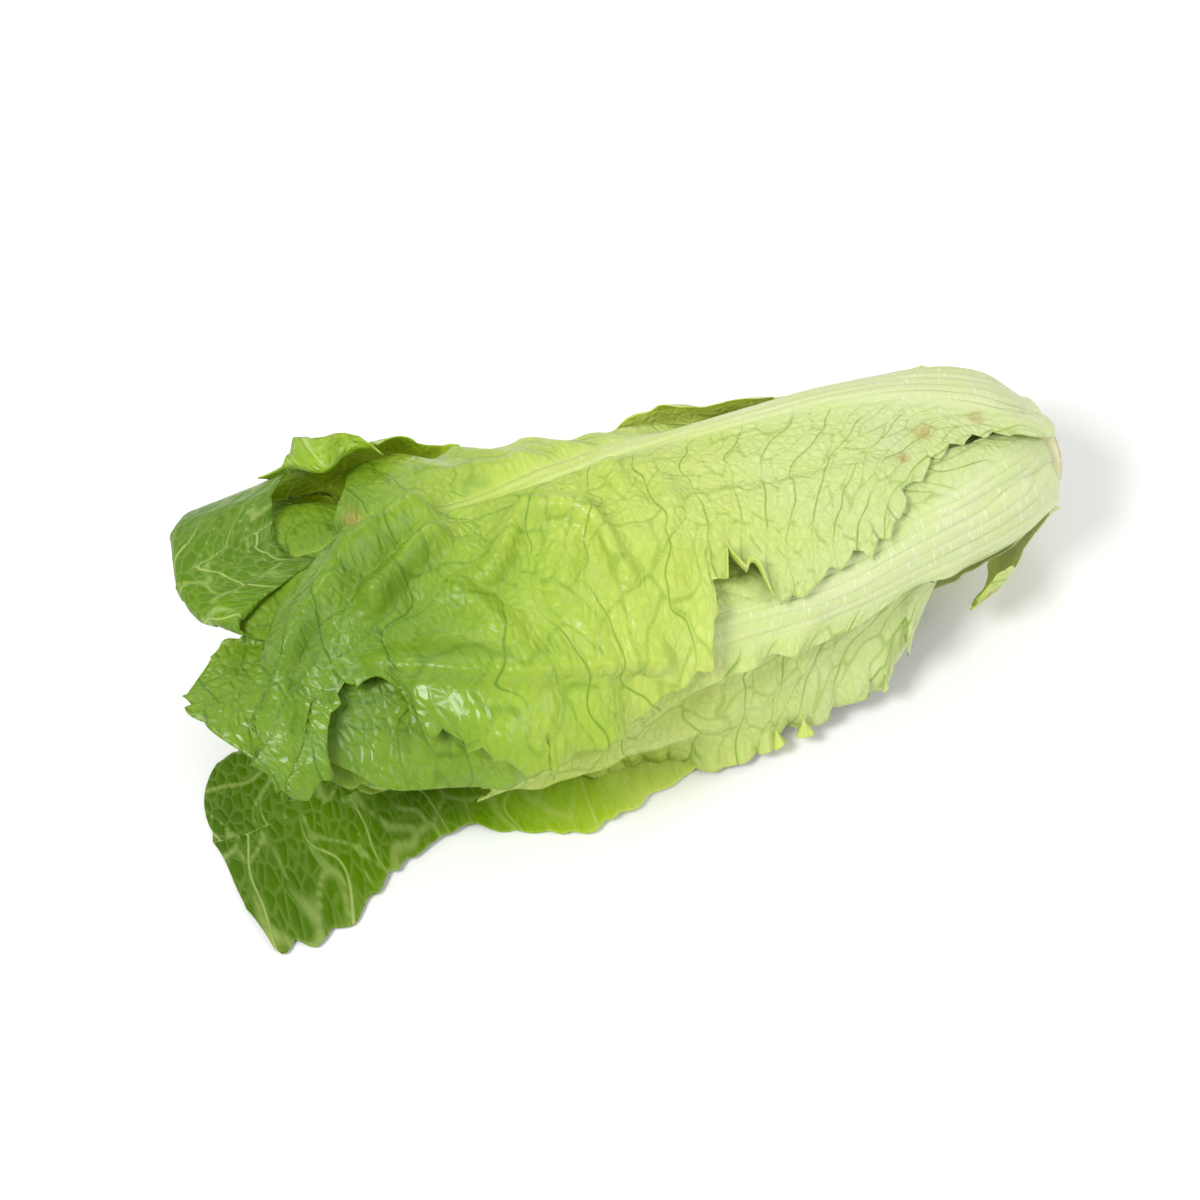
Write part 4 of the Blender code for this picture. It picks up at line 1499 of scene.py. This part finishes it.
OUTER_LEAVES = (
    Leaf(
        "near_tip_leaf",
        0.68,
        (
            (0.064, -20, 22, 64),
            (0.20, -22, 22, 66),
            (0.45, -30, 24, 78),
            (0.70, -35, 26, 84),
            (0.86, -25, 28, 80),
            (0.985, -12, 30, 60),
        ),
        seed=11,
        lively=(0.66, 0.85),
        rib_end=0.90,
        blister=0.0018,
        billow=0.0030,
        tones=((0.0, 0.1), (0.5, 0.4), (0.8, 0.72), (1.0, 0.85)),
    ),
    Leaf(
        "far_tip_leaf",
        0.72,
        (
            (0.052, -84, -42, 0),
            (0.20, -86, -42, 2),
            (0.45, -96, -40, 14),
            (0.70, -98, -40, 20),
            (0.86, -92, -42, 14),
            (0.985, -84, -48, -8),
            (1.09, -72, -54, -24),
        ),
        seed=21,
        lively=(0.66, 0.85),
        rib_end=0.93,
        tip_lift=0.004,
        blister=0.0014,
        tones=((0.0, 0.1), (0.5, 0.4), (0.8, 0.74), (1.1, 0.92)),
        curls=(Curl(Side.TIP, 0.044, 0.0042, 177.0, -1.0, 1.0),),
        gloss=Gloss.DULL,
    ),
    Leaf(
        "front_low_leaf",
        0.84,
        (
            (0.042, 60, 84, 146),
            (0.10, 56, 80, 122),
            (0.15, 54, 76, 98),
            (0.19, 52, 74, 86),
            (0.21, 52, 72, 97),
            (0.235, 50, 72, 110),
            (0.28, 50, 72, 117),
            (0.36, 50, 72, 122),
            (0.45, 48, 72, 128),
            (0.58, 50, 74, 134),
            (0.68, 60, 84, 136),
            (0.73, 72, 96, 132),
        ),
        seed=31,
        covered_to=-0.4,
        rows=250,
        columns=160,
        tip_round=0.03,
        flare=(
            (0.12, 0.0, 0.0),
            (0.20, 0.0, 0.006),
            (0.25, 0.0, 0.020),
            (0.32, 0.0, 0.022),
            (0.42, 0.0, 0.025),
            (0.55, 0.0, 0.026),
            (0.66, 0.0, 0.018),
            (0.73, 0.0, 0.006),
        ),
        tones=((0.0, 0.03), (0.16, 0.05), (0.26, 0.10), (0.36, 0.20), (0.5, 0.34), (0.7, 0.46)),
        high_margin=Margin(0.0080, 0.0105, 0.8, 0.08, 0.125),
        folds=(
            Fold((0.24, 92), (0.42, 104), 0.0030, 0.0040),
            Fold((0.42, 104), (0.68, 108), 0.0040, 0.0060),
        ),
    ),
    Leaf(
        "front_leaf",
        0.90,
        (
            (0.032, 8, 52, 98),
            (0.10, 14, 58, 100),
            (0.15, 16, 61, 89),
            (0.19, 16, 62, 82),
            (0.22, 16, 63, 80),
            (0.30, 14, 66, 84),
            (0.35, 12, 66, 83),
            (0.44, 8, 63, 76),
            (0.50, 2, 60, 78),
            (0.58, -2, 56, 84),
            (0.68, -4, 52, 86),
            (0.78, 0, 48, 80),
            (0.84, 8, 44, 73),
            (0.885, 18, 42, 62),
        ),
        seed=41,
        covered_to=-0.2,
        rows=250,
        columns=150,
        tip_round=0.01,
        rib_half_width=0.021,
        rib_end=0.72,
        rib_thickness=0.0050,
        tones=((0.0, 0.05), (0.3, 0.12), (0.45, 0.22), (0.6, 0.46), (0.75, 0.76), (0.9, 0.90)),
        high_margin=Margin(0.0004, 0.010, 0.4, 0.10),
    ),
    Leaf(
        "back_low_leaf",
        0.92,
        (
            (0.024, -172, -128, -86),
            (0.15, -172, -128, -88),
            (0.30, -186, -130, -84),
            (0.50, -196, -134, -86),
            (0.70, -190, -132, -90),
            (0.84, -166, -130, -102),
        ),
        seed=51,
    ),
    Leaf(
        "top_leaf",
        0.95,
        (
            (0.016, -66, -20, 26),
            (0.06, -68, -21, 20),
            (0.10, -72, -28, 12),
            (0.16, -78, -36, 17),
            (0.22, -82, -42, 36),
            (0.266, -84, -45, 46),
            (0.333, -86, -48, 51),
            (0.38, -87, -49, 50),
            (0.415, -87, -49, 40),
            (0.446, -87, -48, 42),
            (0.47, -87, -47, 62),
            (0.52, -87, -44, 70),
            (0.60, -86, -39, 72),
            (0.66, -86, -37, 72),
            (0.71, -83, -37, 66),
            (0.745, -70, -38, 60),
            (0.775, -46, -41, 52),
            (0.80, -24, -43, 38),
            (0.83, -14, -44, 35),
            (0.86, -5, -45, 46),
            (0.885, 8, -46, 63),
            (0.905, 24, -46, 66),
            (0.93, 46, -46, 64),
        ),
        seed=61,
        flare=((0.20, 0.0, 0.0), (0.45, 0.006, 0.0), (0.66, 0.008, 0.0), (0.76, 0.002, 0.0)),
        lively=(0.34, 0.54),
        rows=310,
        columns=158,
        tip_round=0.004,
        rib_half_width=0.022,
        rib_end=0.772,
        blister=0.0020,
        billow=0.0027,
        tones=(
            (0.0, 0.03),
            (0.15, 0.08),
            (0.3, 0.15),
            (0.42, 0.29),
            (0.52, 0.41),
            (0.62, 0.54),
            (0.78, 0.80),
            (0.93, 0.86),
        ),
        high_margin=Margin(0.0050, 0.0095, 0.6, 0.06, 0.142),
        low_margin=Margin(0.0020, 0.014, 0.4, 0.10),
        folds=(
            Fold((0.602, -14), (0.539, -4), 0.0080, 0.0040),
            Fold((0.602, -14), (0.665, 14), 0.0062, 0.0040),
            Fold((0.539, -4), (0.530, 34), 0.0058, 0.0036),
            Fold((0.808, 33), (0.700, 44), 0.0068, 0.0034),
            Fold((0.700, 44), (0.520, 58), 0.0068, 0.0032),
            Fold((0.690, -30), (0.800, -14), 0.0085, 0.0044),
            Fold((0.800, -12), (0.895, 20), 0.0074, 0.0050),
            Fold((0.895, 22), (0.915, 52), 0.0034, 0.0060),
            Fold((0.690, -14), (0.790, 10), 0.0085, 0.0036),
            Fold((0.22, 18), (0.44, 20), 0.0020, 0.0060),
            Fold((0.44, -10), (0.50, 40), 0.0030, 0.0050),
            Fold((0.70, 10), (0.66, 40), 0.0040, 0.0040),
        ),
        curls=(Curl(Side.HIGH, 0.008, 0.0024, 160.0, 0.375, 0.455),),
        bruises=((0.165, 4, 0.003), (0.10, 2, 0.0022), (0.20, 16, 0.002), (0.766, -41, 0.0026)),
    ),
    Leaf(
        "back_leaf",
        0.97,
        (
            (0.010, -134, -100, -64),
            (0.14, -136, -102, -72),
            (0.22, -140, -102, -76),
            (0.30, -142, -102, -75),
            (0.36, -143, -101, -76),
            (0.43, -144, -108, -90),
            (0.62, -142, -112, -98),
            (0.70, -138, -100, -80),
            (0.78, -124, -86, -54),
            (0.84, -110, -84, -60),
        ),
        seed=72,
        flare=((0.12, 0.0, -0.004), (0.64, 0.0, -0.004), (0.74, 0.0, 0.016), (0.84, 0.0, 0.018)),
        ruffle=0.0010,
        tones=((0.0, 0.03), (0.2, 0.1), (0.45, 0.28), (0.7, 0.52), (0.9, 0.7)),
        high_margin=Margin(0.0080, 0.017, 0.8, 0.14, 0.20),
        curls=(Curl(Side.HIGH, 0.016, 0.0050, 130.0, 0.70, 0.90),),
    ),
    Leaf(
        "under_leaf",
        1.00,
        (
            (0.004, 116, 156, 200),
            (0.09, 134, 164, 204),
            (0.16, 152, 170, 208),
            (0.24, 152, 170, 210),
            (0.32, 148, 166, 212),
            (0.40, 135, 158, 212),
            (0.50, 126, 154, 214),
            (0.61, 123, 154, 214),
            (0.70, 127, 155, 210),
            (0.76, 131, 156, 206),
            (0.84, 128, 154, 202),
            (0.94, 122, 152, 194),
            (1.00, 123, 152, 184),
        ),
        seed=81,
        rows=260,
        columns=160,
        tip_round=0.02,
        rib_end=0.80,
        sprawl=(0.09, 0.20),
        blister=0.0020,
        billow=0.0030,
        tones=((0.0, 0.03), (0.2, 0.10), (0.4, 0.22), (0.58, 0.36), (0.75, 0.80), (1.0, 0.98)),
        low_margin=Margin(0.0014, 0.012, 0.4, 0.10),
        folds=(Fold((0.72, 132), (0.99, 127), 0.0045, 0.0050),),
        gloss=Gloss.DULL,
    ),
    Leaf(
        "torn_leaf",
        1.00,
        (
            (0.003, 136, 148, 160),
            (0.05, 134, 146, 158),
            (0.08, 118, 133, 148),
            (0.11, 98, 117, 136),
            (0.135, 102, 114, 128),
        ),
        slot="torn_leaf",
        seed=91,
        rows=90,
        columns=50,
        tip_round=0.01,
        rib_thickness=0.0030,
        rib_half_width=0.006,
        tip_lift=0.005,
        ruffle=0.0004,
        blister=0.0002,
        billow=0.0008,
        tones=((0.0, 0.03), (0.10, 0.12), (0.14, 0.42)),
        bruises=((0.112, 118, 0.0028), (0.122, 112, 0.002)),
    ),
)


@dataclass(frozen=True)
class InnerLeaves:
    """The heart and middle leaves, each turned by the golden angle from the last."""

    heart: int = 5
    middle: int = 6
    golden_angle: float = 137.5

    def leaves(self) -> list[Leaf]:
        """The leaves from the heart outwards, growing in every measure."""
        count = self.heart + self.middle
        return [self.one(number, number / (count - 1)) for number in range(count)]

    def one(self, number: int, share: float) -> Leaf:
        """One inner leaf, widest at three quarters of its length.

        Args:
            number: Its place in the order, from 0.
            share: Its place from the heart, 0, to the outermost, 1.

        Returns:
            The leaf.
        """
        in_heart = number < self.heart
        part = "heart" if in_heart else "middle"
        order = number + 1 if in_heart else number + 1 - self.heart
        rib = number * self.golden_angle
        spread, base_spread = 90 - 32 * share, 52 - 8 * share
        start, end = 0.29 - 0.21 * share, 0.66 + 0.24 * share
        sides = (
            (0.0, base_spread),
            (0.2, base_spread),
            (0.45, (base_spread + spread) / 2),
            (0.75, spread),
            (1.0, spread * 0.66),
        )
        greenest = (0.6, 0.2 + 0.15 * share), (0.9, 0.35 + 0.35 * share)
        return Leaf(
            f"{part}_leaf_{order}",
            0.20 + 0.46 * share,
            tuple((between(at, start, end), rib - side, rib, rib + side) for at, side in sides),
            slot=f"{part}_leaf",
            seed=100 + 10 * number,
            rows=80 if in_heart else 120,
            columns=48 if in_heart else 70,
            rib_thickness=0.0022 + 0.0022 * share,
            rib_half_width=0.008 + 0.007 * share,
            blister=0.0003,
            billow=0.0003,
            crease=0.0002,
            ruffle=0.0002,
            tones=((0.0, 0.03), (0.3, 0.06), *greenest),
        )


@dataclass(frozen=True)
class Lamp:
    """A square area light: degrees round from the front and up, metres away, and watts."""

    name: str
    azimuth: float
    elevation: float
    distance: float
    size: float
    power: float


@dataclass
class Studio:
    """The floor, the lights and the camera, which all look at one target."""

    target: tuple[float, float, float] = (-0.0095, -0.0036, 0.0372)
    azimuth: float = -21.0
    elevation: float = 56.0
    distance: float = 0.94
    lens: float = 85.0
    sensor: float = 36.0
    floor_size: float = 6.0
    surround: float = 0.53
    lamps: tuple[Lamp, ...] = (
        Lamp("key", -70.0, 54.0, 1.3, 0.40, 11.5),
        Lamp("fill", 48.0, 36.0, 1.6, 0.9, 8.0),
        Lamp("back", 165.0, 48.0, 1.5, 0.6, 4.0),
    )

    def build(self) -> None:
        """Sets the whole studio."""
        self.lay_floor()
        self.light()
        self.place_camera()

    def aim(
        self, made: bpy.types.Object, azimuth: float, elevation: float, distance: float
    ) -> None:
        """Puts a light or camera that way and far from the target, looking at it.

        Args:
            made: The light or camera.
            azimuth: Degrees round from the front.
            elevation: Degrees above the floor.
            distance: Metres from the target.
        """
        turn, rise = math.radians(azimuth), math.radians(elevation)
        flat = math.cos(rise)
        back = Vector((math.sin(turn) * flat, -math.cos(turn) * flat, math.sin(rise)))
        made.location = Vector(self.target) + back * distance
        made.rotation_euler = back.to_track_quat("Z", "Y").to_euler()

    def lay_floor(self) -> None:
        """A wide pale floor, with the faintest mottling."""
        half = self.floor_size / 2
        mesh = bpy.data.meshes.new("floor")
        corners = [(-half, -half, 0), (half, -half, 0), (half, half, 0), (-half, half, 0)]
        mesh.from_pydata(corners, [], [(0, 1, 2, 3)])
        board = NodeBoard("pale floor")
        place = board.add("TexCoord").outputs["Object"]
        mottling = (0.3, (244, 244, 243)), (0.7, (248, 248, 247))
        shade = board.ramp(board.noise(place, 6.0, 3.0), mottling)
        inputs = {"Base Color": shade, "Roughness": 0.9, "Specular IOR Level": 0.1}
        mesh.materials.append(board.dress(inputs))
        floor = placed("floor", mesh)

    def light(self) -> None:
        """A white surround, a soft key from the left, a wide fill and a weak back light."""
        world = bpy.data.worlds.new("studio")
        world.use_nodes = True
        background = world.node_tree.nodes["Background"]
        background.inputs[0].default_value = (1.0, 1.0, 1.0, 1.0)
        background.inputs[1].default_value = self.surround
        bpy.context.scene.world = world
        for lamp in self.lamps:
            light = bpy.data.lights.new(lamp.name, "AREA")
            light.size, light.energy = lamp.size, lamp.power
            self.aim(placed(lamp.name, light), lamp.azimuth, lamp.elevation, lamp.distance)
        bpy.context.scene.view_settings.view_transform = "Standard"

    def place_camera(self) -> None:
        """The camera, looking at the target from its azimuth and elevation."""
        camera = bpy.data.cameras.new("camera")
        camera.lens, camera.sensor_width = self.lens, self.sensor
        made = placed("camera", camera)
        self.aim(made, self.azimuth, self.elevation, self.distance)
        bpy.context.scene.camera = made


def report(piece: bpy.types.Object) -> None:
    """Logs a piece's faces and corners.

    Args:
        piece: The finished piece.
    """
    points = np.empty(len(piece.data.vertices) * 3)
    piece.data.vertices.foreach_get("co", points)
    points = 1000 * points.reshape(-1, 3)
    low, high = np.round(points.min(axis=0)), np.round(points.max(axis=0))
    log.info("%s: %d faces, %s to %s mm", piece.name, len(piece.data.polygons), low, high)


def main() -> None:
    """Builds the head from the stem outwards, then the studio."""
    logging.basicConfig(level=logging.INFO, format="%(name)s: %(message)s")
    shape = HeadShape.from_frame()
    bed = Bed(shape)
    report(StemPiece(shape).build())
    finishes = {gloss: LeafFinish(gloss).make() for gloss in Gloss}
    for leaf in (*InnerLeaves().leaves(), *OUTER_LEAVES):
        report(LeafPiece(shape, leaf).build(bed, finishes[leaf.gloss]))
    Studio().build()
    log.info("studio")


if __name__ == "__main__":
    main()
